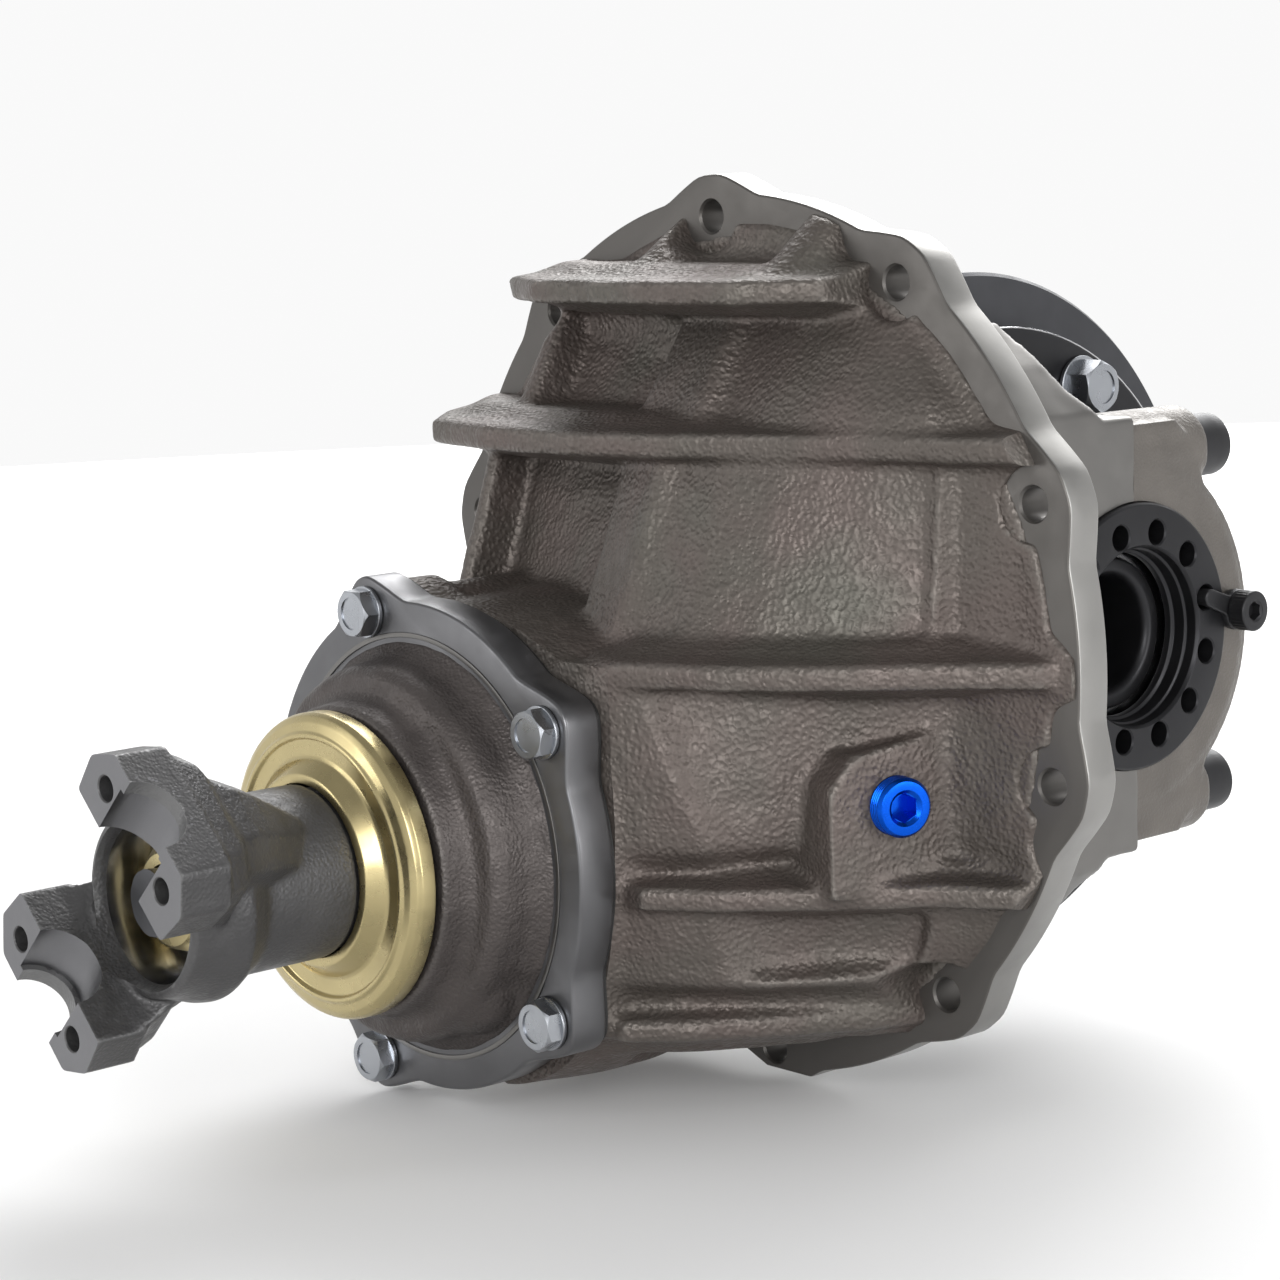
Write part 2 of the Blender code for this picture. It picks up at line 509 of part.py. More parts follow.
def gear_case():
    case = plate("gear_case", lobed(FLANGE_RADIUS, FLANGE_BOLT_CIRCLE, FLANGE_LOBE, FLANGE_HOLES,
                                    FLANGE_FIRST_HOLE, 80), -FLANGE_THICK, 0, CAST_IRON, FACING_Y)
    case = cut(case, plate("foot", FLANGE_FOOT, -20, 5, None, FACING_Y))
    case = join(case, skin("barrel", [smooth_ring(ring, y) for y, ring in BARREL.items()]))
    case = join(case, *[wall(levels) for levels in WALLS])

    well = skin("well", [smooth_ring(BARREL[-10], y, scale) for y, scale in WELL])
    slab = block("slab", (-70.5, -100, -150), (70.5, 10, 150))
    well = combine(well, "INTERSECT", slab)
    case = cut(case, well)

    pad = plate("pad", [(x + PINION_X, z + PINION_Z) for x, z in
                        lobed(SUPPORT_RADIUS - 2.5, SUPPORT_BOLT_CIRCLE, SUPPORT_LOBE - 2, SUPPORT_BOLTS,
                              SUPPORT_FIRST_BOLT, 50)], PAD_Y - 3, -80, None, FACING_Y)
    lobe_roots = []
    for i in range(SUPPORT_BOLTS):
        x, z = clock(SUPPORT_BOLT_CIRCLE - 4, SUPPORT_FIRST_BOLT + 72 * i, (PINION_X, PINION_Z))
        lobe_roots.append(drum("root", SUPPORT_LOBE - 2.5, -82, -43.7, at=(x, 0, z), axis="Y", steps=14))
    barrel = pinion_turned("barrel", [(0, -38.3), (60, -38.3), (60, PAD_Y - 3), (0, PAD_Y - 3)], 28)
    pilot_boss = pinion_turned("pilot_boss", [(0, 22), (29, 22), (29, -2), (0, -2)], 28)
    web = block("web", (-56, -10, -110), (-45, 20, -80))
    side_web = block("side_web", (-100, 2, -68), (-70, 20, -53))
    fins = []
    for low, high, edge in FINS:
        limit = drum("limit", RIM_INNER, -120, 20, axis="Y", steps=72)
        fins.append(combine(plate("fin", edge, low, high), "INTERSECT", limit))
    gussets = [gusset(*shape) for shape in GUSSETS]
    boss = skin("boss", [[point(*spot) for spot in row] for row in (
        ((50, -16, -67), (57, -52, -67), (86, -60, -67), (99, -12, -67)),
        ((56, -16, -33), (61, -50, -33), (86, -60, -33), (99, -12, -33)),
        ((62, -16, -25), (70, -48, -25), (88, -52, -23), (99, -12, -16)))])
    upper = [(-6.4, 100), (31, 100), (34, 91), (38, 80), (48, PEDESTAL_HALF_Z), (AXLE_Y, PEDESTAL_HALF_Z)]
    lower = [(y, -z) for y, z in reversed(upper)]
    pedestals = []
    for side in (-1, 1):
        x_low, x_high = sorted((side * PEDESTAL_IN, side * PEDESTAL_OUT))
        stand = plate("stand", upper + lower, x_low, x_high, None, FACING_X)
        register = drum("register", REGISTER_RADIUS, -10, 80, axis="Y", steps=64)
        pedestals.append(combine(stand, "INTERSECT", register))
    case = join(case, pad, barrel, *lobe_roots, pilot_boss, web, side_web)
    case = join(case, *fins)
    case = join(case, *gussets, boss, *pedestals)
    case = cut(case, block("front", (-200, -200, -200), (200, PAD_Y, 200)))

    ring_room = axle_turned("ring_room", [(0, 60), (98, 60), (98, 48), (119, 38), (119, -24), (0, -24)], 40)
    carrier_room = axle_turned("carrier_room", [(0, 70.5), (66, 70.5), (66, -24), (52, -24), (52, -70.5),
                                                (0, -70.5)], 24)
    head_room = pinion_turned("head_room", [(0, 6), (48, 6), (51.3, -44), (51.3, -60), (0, -60)], 24)
    bore = pinion_turned("bore", [(0, -40), (SPIGOT_RADIUS + GAP, -40), (SPIGOT_RADIUS + GAP, -120),
                                  (0, -120)], 28)
    pilot_bore = pinion_turned("pilot_bore", [(0, 30), (PILOT_BORE, 30), (PILOT_BORE, 0), (0, 0)], 20)
    saddles = [axle_turned("saddle", [(0, 110), (SADDLE_RADIUS, 110), (SADDLE_RADIUS, 60), (0, 60)], 32),
               axle_turned("saddle", [(0, -60), (SADDLE_RADIUS, -60), (SADDLE_RADIUS, -110), (0, -110)],
                           32)]
    holes = []
    for i in range(FLANGE_HOLES):
        x, z = clock(FLANGE_BOLT_CIRCLE, FLANGE_FIRST_HOLE + 36 * i)
        holes.append(drum("hole", FLANGE_HOLE, -40, 5, at=(x, 0, z), axis="Y", steps=10))
    for i in range(SUPPORT_BOLTS):
        x, z = clock(SUPPORT_BOLT_CIRCLE, SUPPORT_FIRST_BOLT + 72 * i, (PINION_X, PINION_Z))
        holes.append(drum("hole", 5.4, -120, -68, at=(x, 0, z), axis="Y", steps=8))
    for side in (-1, 1):
        for z in (-CAP_BOLT_Z, CAP_BOLT_Z):
            holes.append(drum("hole", 6.8, 30, 80, at=(side * CAP_BOLT_X, 0, z), axis="Y", steps=8))
    plug_hole = drum("plug_hole", PLUG_RADIUS - 0.9, -16, 20, steps=18)
    spotface = drum("spotface", PLUG_RADIUS + 1.8, 0.6, 20, steps=24)
    for cutter in (plug_hole, spotface):
        cutter.matrix_world = plug_frame()
    case = cut(case, ring_room, carrier_room, head_room, bore, pilot_bore, *saddles)
    return cut(case, *holes, spotface, plug_hole)


def plug_frame():
    return Matrix.Translation(point(*PLUG_AT)) @ Matrix.Rotation(math.radians(PLUG_YAW), 4, "Z") @ TURN["X"]


def fill_plug():
    plug = drum("fill_plug", PLUG_RADIUS - 1.2, -12, 2.2, BLUE_ANODISE, steps=24)
    plug.matrix_world = plug_frame()
    head = drum("head", PLUG_RADIUS, 1.0, 4.6, steps=24)
    head.matrix_world = plug_frame()
    socket = plate("socket", hex_outline(8.2), -2, 8, None, plug_frame())
    return cut(join(plug, head), socket)


# ---------------------------------------------------------------- bearing caps, adjusters and their locks
def bearing_cap(side, name):
    x_low, x_high = sorted((side * PEDESTAL_IN, side * PEDESTAL_OUT))
    back = [(AXLE_Y + CAP_BACK_RADIUS * math.sin(math.radians(a)),
             CAP_BACK_RADIUS * math.cos(math.radians(a)))
            for a in range(46, 135, 8)]
    start = AXLE_Y + GAP
    upper = [(start, PEDESTAL_HALF_Z), (88, PEDESTAL_HALF_Z), (97, 67), (CAP_SEAT_Y, 62), (CAP_SEAT_Y, 44)]
    lower = [(y, -z) for y, z in reversed(upper)]
    cap = plate(name, [*upper, *back, *lower], x_low, x_high, CAST_IRON, FACING_X)
    saddle = turned("saddle", [(0, 120), (SADDLE_RADIUS, 120), (SADDLE_RADIUS, -120), (0, -120)], None,
                    (0, AXLE_Y, 0), "X", 40)
    holes = [drum("hole", 6.6, 40, 130, at=(side * CAP_BOLT_X, 0, z), axis="Y", steps=14)
             for z in (-CAP_BOLT_Z, CAP_BOLT_Z)]
    tap = drum("tap", 3.2, 84, 110, at=(0, LOCK_SCREW_Y, LOCK_SCREW_Z), axis="X" if side > 0 else "-X",
               steps=12)
    return cut(cap, saddle, *holes, tap)


def cap_bolt(side, z, name):
    """Socket-head bolt with its washer face on the cap's boss."""
    where = place((side * CAP_BOLT_X, CAP_SEAT_Y + GAP, z), "Y")
    bolt = turned(name, [(0, 16.2), (10.2, 16.2), (10.2, 0), (6.0, 0), (6.0, -62), (0, -62)],
                  BLACK_OXIDE, steps=14)
    bolt.matrix_world = where
    return cut(bolt, plate("socket", hex_outline(10), 9, 20, None, where))


def spanner_angles():
    return [SPANNER_FIRST + 360 / SPANNER_HOLES * i for i in range(SPANNER_HOLES)]


def on_axle(x, radius, degrees):
    """Point at an angle from +Y towards +Z about the axle axis."""
    turn = math.radians(degrees)
    return x, AXLE_Y + radius * math.cos(turn), radius * math.sin(turn)


def adjuster(side, name):
    rim = SADDLE_RADIUS - GAP
    low, high = ADJUSTER_OUT - ADJUSTER_THICK, ADJUSTER_OUT
    nut = turned(name, [(rim, high), (rim, low), (ADJUSTER_BORE, low), (ADJUSTER_BORE, high)], BLACK_OXIDE,
                 (0, AXLE_Y, 0), "X" if side > 0 else "-X", 36)
    holes = [drum("hole", SPANNER_HOLE, low + 3.5, high + 4,
                  at=(0, *on_axle(0, SPANNER_CIRCLE, angle)[1:]), axis="X" if side > 0 else "-X", steps=6)
             for angle in spanner_angles()]
    return cut(nut, *holes)


def adjuster_lock(side, name):
    """Strap under the lock screw, with a finger in one spanner hole of the adjuster."""
    tip_y, tip_z = on_axle(0, SPANNER_CIRCLE, SPANNER_FIRST)[1:]
    along = Vector((LOCK_SCREW_Y - tip_y, LOCK_SCREW_Z - tip_z)).normalized()
    across = Vector((-along.y, along.x))
    start, end = Vector((tip_y, tip_z)), Vector((LOCK_SCREW_Y, LOCK_SCREW_Z))
    outline = []
    for centre, radius, first in ((start, 3.2, 90), (end, 6.4, -90)):
        for i in range(7):
            turn = math.radians(first + 30 * i)
            outline.append(tuple(centre + radius * (along * math.cos(turn) + across * math.sin(turn))))
    low, high = ADJUSTER_OUT + GAP, ADJUSTER_OUT + 2.5
    x_low, x_high = sorted((side * low, side * high))
    strap = plate(name, outline, x_low, x_high, BLACK_OXIDE, FACING_X)
    axis = "X" if side > 0 else "-X"
    finger = drum("finger", 3.1, low - 4, low + 1, at=(0, tip_y, tip_z), axis=axis, steps=12)
    foot = drum("foot", 3.6 + 1.8, PEDESTAL_OUT + GAP, low + 1, at=(0, LOCK_SCREW_Y + 1.8, LOCK_SCREW_Z),
                axis=axis,
                steps=16)
    hole = drum("hole", 3.4, 90, 120, at=(0, LOCK_SCREW_Y, LOCK_SCREW_Z), axis=axis, steps=12)
    return cut(join(strap, finger, foot), hole)


def lock_screw(side, name):
    where = place((side * (ADJUSTER_OUT + 2.5 + GAP), LOCK_SCREW_Y, LOCK_SCREW_Z),
                  "X" if side > 0 else "-X")
    screw = turned(name, [(0, 6.5), (6.7, 6.5), (6.7, 0), (2.9, 0), (2.9, -18), (0, -18)],
                   BLACK_OXIDE, steps=14)
    screw.matrix_world = where
    return cut(screw, plate("socket", hex_outline(5.5), 3, 9, None, where))


# ---------------------------------------------------------------- bearings
BEARING_STEPS = 22


def bearing(stem, axis_at, axis, inner, outer, low, high, rollers, flip=False, plain=False):
    """Cup, cone and roller set of a bearing between two radii.

    flip turns the taper round; plain makes straight rollers that run on the shaft, with no cone.
    """
    width = high - low
    wall = (outer - inner) * 0.2
    lean = 0 if plain else width * 0.16
    inner_wall = 0 if plain else wall
    cup_low, cone_high = low + 2, high - 2

    def level(height):
        return low + high - height if flip else height

    def cup_radius(height):
        return outer - wall - lean * (height - cup_low) / (high - cup_low)

    def cone_radius(height):
        return inner + inner_wall + lean * (cone_high - height) / (cone_high - low)

    def ring(name, profile):
        points = [(radius, level(height)) for radius, height in profile]
        if flip:
            points.reverse()
        turned(name, points, BEARING_STEEL, axis_at, axis, BEARING_STEPS)

    ring(stem + "_cup", [(outer, high), (outer, cup_low), (cup_radius(cup_low), cup_low),
                         (cup_radius(high), high)])
    if not plain:
        ring(stem + "_cone", [(cone_radius(cone_high), cone_high), (cone_radius(low), low), (inner, low),
                              (inner, cone_high)])

    columns = rollers * 3         # three points round each roller, and the cage between
    frame = place(axis_at, axis)
    rows = []
    for outside in (True, False):
        heights = (low + 3, high - 3.5) if outside else (high - 3.5, low + 3)
        for height in heights:
            most = cup_radius(height) * math.cos(math.pi / BEARING_STEPS) - GAP
            least = (cone_radius(height) + GAP) / math.cos(math.pi / columns)
            spots = []
            for i in range(columns):
                reach = (most - least) / 2 * (0.4 if i % 3 == 0 else 1.0)
                radius = (most + least) / 2 + (reach if outside else -reach)
                turn = TAU * i / columns
                spots.append(frame @ point(radius * math.cos(turn), radius * math.sin(turn), level(height)))
            rows.append(spots)
    skin(stem + "_rollers", rows, MACHINED, closed=True)


# ---------------------------------------------------------------- pinion support and what it holds
def pinion_support():
    centre = (PINION_X, PINION_Z)
    outline = [(x + centre[0], z + centre[1]) for x, z in
               lobed(SUPPORT_RADIUS, SUPPORT_BOLT_CIRCLE, SUPPORT_LOBE, SUPPORT_BOLTS, SUPPORT_FIRST_BOLT,
                     50)]
    support = plate("pinion_support", outline, SUPPORT_FRONT_Y, PAD_Y - 1.6, CAST_IRON, FACING_Y)
    body = pinion_turned("body", [(0, SPIGOT_END_Y), (SPIGOT_RADIUS, SPIGOT_END_Y), (SPIGOT_RADIUS, -97),
                                  (63, -105), (62, -112), (58.5, -123), (53, -128), (49, -139),
                                   (0, -139)], 28)
    support = join(support, body)
    oil_boss = pinion_oil_boss()
    support = join(support, oil_boss)
    through = pinion_turned("through", [(0, 0), (46.2, 0), (46.2, -72.5), (38, -72.5), (38, -111.5),
                                        (41.2, -111.5),
                                        (41.2, -129), (36.2, -129), (36.2, -150), (0, -150)], 22)
    holes = []
    for i in range(SUPPORT_BOLTS):
        x, z = clock(SUPPORT_BOLT_CIRCLE, SUPPORT_FIRST_BOLT + 72 * i, centre)
        holes.append(drum("hole", 5.6, -120, -80, at=(x, 0, z), axis="Y", steps=10))
    return cut(support, through, *holes)


def pinion_oil_boss():
    """Lump at the lower right of the support's nose."""
    x, z = clock(40, 140, (PINION_X, PINION_Z))
    return turned("oil_boss", [(0, -104), (22, -104), (22, -118), (17, -124), (0, -127)], None, (x, 0, z),
                  "Y", 20)


def support_trim():
    """Shim and sealing ring between the support's flange and the gear case's pad."""
    centre = (PINION_X, PINION_Z)
    back, front = PAD_Y - GAP, PAD_Y - 1.6 + GAP
    outline = [(x + centre[0], z + centre[1]) for x, z in
               lobed(SUPPORT_RADIUS - 3.5, SUPPORT_BOLT_CIRCLE, SUPPORT_LOBE - 3.2, SUPPORT_BOLTS,
                     SUPPORT_FIRST_BOLT, 40)]
    shim = plate("pinion_depth_shim", outline, front, back, MACHINED, FACING_Y)
    opening = pinion_turned("opening", [(0, -80), (58.5, -80), (58.5, -110), (0, -110)], 20)
    holes = [drum("hole", 6, -110, -80, at=(x, 0, z), axis="Y", steps=6) for x, z in
             [clock(SUPPORT_BOLT_CIRCLE, SUPPORT_FIRST_BOLT + 72 * i, centre)
              for i in range(SUPPORT_BOLTS)]]
    cut(shim, opening, *holes)
    turned("support_seal_ring", [(57.3, back), (57.3, front), (54.6, front), (54.6, back)], BLACK_RUBBER,
           (PINION_X, 0, PINION_Z), "Y", 24)


def support_bolt(i):
    x, z = clock(SUPPORT_BOLT_CIRCLE, SUPPORT_FIRST_BOLT + 72 * i, (PINION_X, PINION_Z))
    where = Matrix.Translation(point(x, SUPPORT_FRONT_Y - GAP, z)) @ Matrix.Rotation(math.pi / 2, 4, "X")
    return hex_bolt(f"pinion_support_bolt_{i + 1}", 4.7, 34, 14.3, 6.4, 8.6, BRIGHT_ZINC, where)


def oil_seal():
    return turned("pinion_oil_seal", [(35.4, -129.6), (35.4, -139.5), (27, -139.5), (25.4, -136),
                                      (27.5, -131),
                                      (27.5, -129.6)], BLACK_RUBBER, (PINION_X, 0, PINION_Z), "Y", 20)


# ---------------------------------------------------------------- hypoid pinion and ring gear
def pinion_pitch(y):
    return PITCH_RADIUS - PINION_TAPER * (y - PITCH_Y)


def pinion_gear():
    """Nine-tooth hypoid pinion with its shaft, as one skin round the pinion axis."""
    step = TAU / PINION_TEETH
    spread = ((-0.24, -1), (-0.08, 1), (0.08, 1), (0.24, -1))
    columns = PINION_TEETH * len(spread)

    def ring(y, radius_of):
        spots = []
        for tooth in range(PINION_TEETH):
            for offset, level in spread:
                turn = (tooth + offset) * step + PINION_TWIST * (y - PITCH_Y)
                radius = radius_of(level)
                spots.append(point(PINION_X + radius * math.cos(turn), y,
                                   PINION_Z - radius * math.sin(turn)))
        return spots

    def toothed(y, fade=1.0):
        pitch = pinion_pitch(y)
        return ring(y, lambda level: pitch + (TOOTH_ADDENDUM if level > 0 else -TOOTH_DEDENDUM) * fade)

    def plain(y, radius):
        return ring(y, lambda level: radius)

    rings = [plain(19, 15.0), plain(4, 15.0), plain(4, 26)]
    rings += [toothed(y) for y in (3, -5, -13, -21, -28, -34.5)]
    rings += [plain(-37.5, 30), plain(-37.5, 22.5), plain(-76, 22.5), plain(-76, 19), plain(-108, 19),
              plain(-109, 17.4), plain(-133, 17.4), plain(-133, 15.5), plain(-189, 15.5), plain(-189, 10.4),
              plain(-212, 10.4)]
    assert all(len(spots) == columns for spots in rings)
    return skin("pinion_gear", rings, GEAR_STEEL)


def ring_gear():
    """Hypoid ring gear. Its tooth spaces follow the pinion's teeth through the line where they meet."""
    ratio = RING_TEETH / PINION_TEETH
    step = TAU / RING_TEETH
    spread = ((-0.31, 1), (0.31, 1), (0.43, -1), (0.57, -1))

    def meeting_y(radius):
        return AXLE_Y - math.sqrt(radius ** 2 - PINION_Z ** 2)

    def space_angle(radius):
        y = meeting_y(radius)
        return math.atan2(PINION_Z, y - AXLE_Y) + PINION_TWIST * (y - PITCH_Y) / ratio

    def ring(radius, twist_radius, x_of):
        spots = []
        for tooth in range(RING_TEETH):
            for offset, level in spread:
                turn = space_angle(twist_radius) + (tooth + offset) * step
                spots.append(point(x_of(level), AXLE_Y + radius * math.cos(turn), radius * math.sin(turn)))
        return spots

    def toothed(radius):
        pitch_x = PINION_X + pinion_pitch(meeting_y(radius))
        return ring(radius, radius, lambda level: pitch_x + (TOOTH_DEDENDUM + 1.2 if level > 0 else
                                                             -TOOTH_ADDENDUM + 0.6))

    floor_x = PINION_X + pinion_pitch(meeting_y(84)) + TOOTH_DEDENDUM + 1.6
    rings = [toothed(radius) for radius in (84, 90, 97, 105, RING_RADIUS)]
    rings += [ring(RING_RADIUS, RING_RADIUS, lambda level: RING_BACK_X),
              ring(RING_BORE, 84, lambda level: RING_BACK_X),
              ring(RING_BORE, 84, lambda level: floor_x)]
    gear = skin("ring_gear", rings, GEAR_STEEL, closed=True)
    holes = [drum("hole", 5.3, 12, 40, at=(0, *carrier_bolt_at(i)), axis="X", steps=8)
             for i in range(CARRIER_BOLTS)]
    return cut(gear, *holes)


def carrier_bolt_at(i):
    turn = math.radians(90 - CARRIER_FIRST_BOLT - 36 * i)
    return AXLE_Y + CARRIER_BOLT_CIRCLE * math.cos(turn), CARRIER_BOLT_CIRCLE * math.sin(turn)


def carrier_bolt(i):
    where = place((CASE_FLANGE_X + GAP, *carrier_bolt_at(i)), "X")
    return hex_bolt(f"ring_gear_bolt_{i + 1}", 4.9, 30, 15.5, 10.5, 10.4, BRIGHT_ZINC, where)


# ---------------------------------------------------------------- differential
def differential_case():
    start = RING_BACK_X + GAP
    case = turned("differential_case", [
        (JOURNAL_RADIUS, 90.5), (JOURNAL_RADIUS, 58), (60, 52), (60, CASE_FLANGE_X),
        (CASE_FLANGE_RADIUS, CASE_FLANGE_X), (CASE_FLANGE_RADIUS, start),
        (RING_BORE - GAP, start), (RING_BORE - GAP, 20), (62, 16), (62, -18), (49.5, -23), (49.5, -60),
        (JOURNAL_RADIUS, -62), (JOURNAL_RADIUS, -90.5), (AXLE_BORE, -90.5), (AXLE_BORE, -49),
        (26.3, -49), (26.3, -41), (46, -39), (46, 33), (26.3, 35), (26.3, 43),
        (AXLE_BORE, 43), (AXLE_BORE, 90.5)], BLACK_OXIDE, (0, AXLE_Y, 0), "X", 24)
    window = block("window", (-34, AXLE_Y - 80, -25), (28, AXLE_Y + 80, 25))
    pin_hole = drum("pin_hole", CROSS_PIN_RADIUS + GAP, -80, 80, at=(DIFF_CENTRE_X, AXLE_Y, 0), axis="Z",
                    steps=16)
    holes = [drum("hole", 5.3, 20, 60, at=(0, *carrier_bolt_at(i)), axis="X", steps=8)
             for i in range(CARRIER_BOLTS)]
    return cut(case, window, pin_hole, *holes)


def bevel_gear(name, teeth, mate_teeth, start_on_tooth, hub, frame):
    """Straight bevel gear whose pitch-cone apex is at the frame's origin, with its back at +Z."""
    cone_distance = SIDE_GEAR_RADIUS / math.sin(math.atan2(SIDE_GEAR_TEETH, SPIDER_TEETH))
    pitch_angle = math.atan2(teeth, mate_teeth)
    module = 2 * SIDE_GEAR_RADIUS / SIDE_GEAR_TEETH
    step = TAU / teeth
    shift = 0 if start_on_tooth else 0.5
    spread = ((-0.26, -1), (-0.10, 1), (0.10, 1), (0.26, -1))

    def ring(distance, tooth=True, radius=None, height=None):
        scale = distance / cone_distance
        spots = []
        for i in range(teeth):
            for offset, level in spread:
                turn = (i + shift + offset) * step
                if tooth:
                    off = (0.78 if level > 0 else -0.98) * module * scale
                    r = distance * math.sin(pitch_angle) + off * math.cos(pitch_angle)
                    h = distance * math.cos(pitch_angle) - off * math.sin(pitch_angle)
                else:
                    r, h = radius, height
                spots.append(frame @ point(r * math.cos(turn), r * math.sin(turn), h))
        return spots

    outer_height = cone_distance * math.cos(pitch_angle)
    inner_height = (cone_distance - 12.5) * math.cos(pitch_angle)
    rings = [ring(cone_distance - 12.5), ring(cone_distance)]
    rings += [ring(0, False, hub["shoulder"], outer_height + hub["rise"])]
    for radius, height in hub["steps"]:
        rings.append(ring(0, False, radius, height))
    rings += [ring(0, False, hub["bore"], hub["top"]),
              ring(0, False, hub["bore"], inner_height + hub["sink"])]
    return skin(name, rings, GEAR_STEEL, closed=True)


def side_gear(side, name):
    frame = Matrix.Translation(point(DIFF_CENTRE_X, AXLE_Y, 0)) @ TURN["X" if side > 0 else "-X"]
    hub = {"rise": 8, "shoulder": 25.5, "steps": [(25.5, 40)], "bore": AXLE_BORE - 3, "top": 45.5,
           "sink": 3}
    return bevel_gear(name, SIDE_GEAR_TEETH, SPIDER_TEETH, True, hub, frame)


def spider_gear(side, name):
    turn = Matrix.Identity(4) if side > 0 else Matrix.Rotation(math.pi, 4, "X")
    frame = Matrix.Translation(point(DIFF_CENTRE_X, AXLE_Y, 0)) @ turn
    hub = {"rise": 4, "shoulder": 15, "steps": [(14, 41.5)], "bore": CROSS_PIN_RADIUS + GAP, "top": 41.5,
           "sink": 0.5}
    return bevel_gear(name, SPIDER_TEETH, SIDE_GEAR_TEETH, False, hub, frame)


# ---------------------------------------------------------------- yoke, slinger and pinion nut
def yoke_frame():
    """Local X runs ear to ear, local Y across the ears and local Z towards the gear case."""
    turn = math.radians(YOKE_ANGLE)
    along = Vector((math.cos(turn), 0, math.sin(turn)))
    ahead = Vector((0, 1, 0))
    across = ahead.cross(along)
    basis = Matrix((along, across, ahead)).transposed().to_4x4()
    return Matrix.Translation(point(PINION_X, YOKE_FACE_Y, PINION_Z)) @ basis


def yoke():
    """Heights are measured back from the strap pads."""
    where = yoke_frame()
    hub = turned("pinion_yoke", [(0, 99.5), (24.6, 99.5), (24.6, 78), (YOKE_HUB_RADIUS, 78),
                                 (YOKE_HUB_RADIUS, 40), (31, 35), (31, 30), (0, 30)], FORGED, steps=24)
    hub.matrix_world = where
    pieces = []
    for side in (-1, 1):
        ear = [(side * 26, -27), (side * 26, 27), (side * 40, 29), (side * 49, 21), (side * 49, -21),
               (side * 40, -29)]
        if side < 0:
            ear.reverse()
        pieces.append(plate("ear", ear, 0, 19, None, where))
        arm_rings = []
        for height, inner, outer, half in ((15, 27, 48, 25), (24, 22, 46, 22), (33, 10, 41, 19),
                                           (40, 4, 33, 17),
                                           (52, 2, 26, 13)):
            corners = [(inner, -half), (inner, half), (outer - 4, half), (outer, half - 5),
                       (outer, 5 - half),
                       (outer - 4, -half)]
            arm_rings.append([where @ point(side * u, v, height) for u, v in corners])
        pieces.append(skin("arm", arm_rings))
    hub = join(hub, *pieces)
    bore = turned("bore", [(0, 110), (16.1, 110), (16.1, 43.2), (22.5, 43.2), (22.5, -2), (0, -2)], None,
                  steps=24)
    bore.matrix_world = where
    saddle = drum("saddle", JOINT_CAP_RADIUS, -60, 60, steps=24)
    saddle.matrix_world = where @ Matrix.Rotation(math.pi / 2, 4, "Y")
    holes = []
    for u in (-YOKE_PAD_U, YOKE_PAD_U):
        for v in (-YOKE_PAD_V, YOKE_PAD_V):
            hole = drum("hole", 4.0, -4, 26, steps=10)
            hole.matrix_world = where @ Matrix.Translation(point(u, v, 0))
            holes.append(hole)
    return cut(hub, bore, saddle, *holes)


def small_turned(name, profile, finish, steps=24):
    return turned(name, profile, finish, (PINION_X, 0, PINION_Z), "Y", steps)


def yoke_trim():
    small_turned("dust_shield", [
        (YOKE_HUB_RADIUS + GAP, -154.6), (YOKE_HUB_RADIUS + GAP, -152.2), (YOKE_HUB_RADIUS + 6, -152.2),
        (YOKE_HUB_RADIUS + 8, -146.6), (44, -146.4), (SLINGER_RADIUS - 1.6, -141.2),
        (SLINGER_RADIUS, -141.2), (SLINGER_RADIUS, -144.4), (44.5, -149.6),
        (YOKE_HUB_RADIUS + 10, -150), (YOKE_HUB_RADIUS + 8, -154.6)],
        GOLD_ZINC)
    small_turned("pinion_washer", [(20, -190.6), (20, -193.8), (11, -193.8), (11, -190.6)], GOLD_ZINC, 28)
    where = Matrix.Translation(point(PINION_X, 0, PINION_Z)) @ FACING_Y
    nut = plate("pinion_nut", hex_outline(30), -206, -194.1, GOLD_ZINC, where)
    cut(nut, small_turned("thread", [(0, -180), (10.7, -180), (10.7, -220), (0, -220)], None, 20))


# ---------------------------------------------------------------- assembly
gear_case()
fill_plug()
for side, hand in ((-1, "left"), (1, "right")):
    bearing_cap(side, f"bearing_cap_{hand}")
    cap_bolt(side, CAP_BOLT_Z, f"cap_bolt_{hand}_upper")
    cap_bolt(side, -CAP_BOLT_Z, f"cap_bolt_{hand}_lower")
    adjuster(side, f"adjuster_{hand}")
    adjuster_lock(side, f"adjuster_lock_{hand}")
    lock_screw(side, f"lock_screw_{hand}")
    side_gear(side, f"side_gear_{hand}")
    bearing(f"side_bearing_{hand}", (0, AXLE_Y, 0), "X" if side > 0 else "-X", JOURNAL_RADIUS + GAP,
            SADDLE_RADIUS - GAP, 73.5, ADJUSTER_OUT - ADJUSTER_THICK - GAP, 10)
spider_gear(1, "spider_gear_upper")
spider_gear(-1, "spider_gear_lower")
differential_case()
drum("cross_pin", CROSS_PIN_RADIUS, -59, 59, MACHINED, (DIFF_CENTRE_X, AXLE_Y, 0), "Z", 16)
ring_gear()
for i in range(CARRIER_BOLTS):
    carrier_bolt(i)
pinion_support()
support_trim()
for i in range(SUPPORT_BOLTS):
    support_bolt(i)
oil_seal()
pinion_gear()
bearing("rear_pinion_bearing", (PINION_X, 0, PINION_Z), "Y", 22.8, 46.0, -72.2, -51.0, 10)
bearing("front_pinion_bearing", (PINION_X, 0, PINION_Z), "Y", 17.8, 41.0, -128.7, -111.8, 10, flip=True)
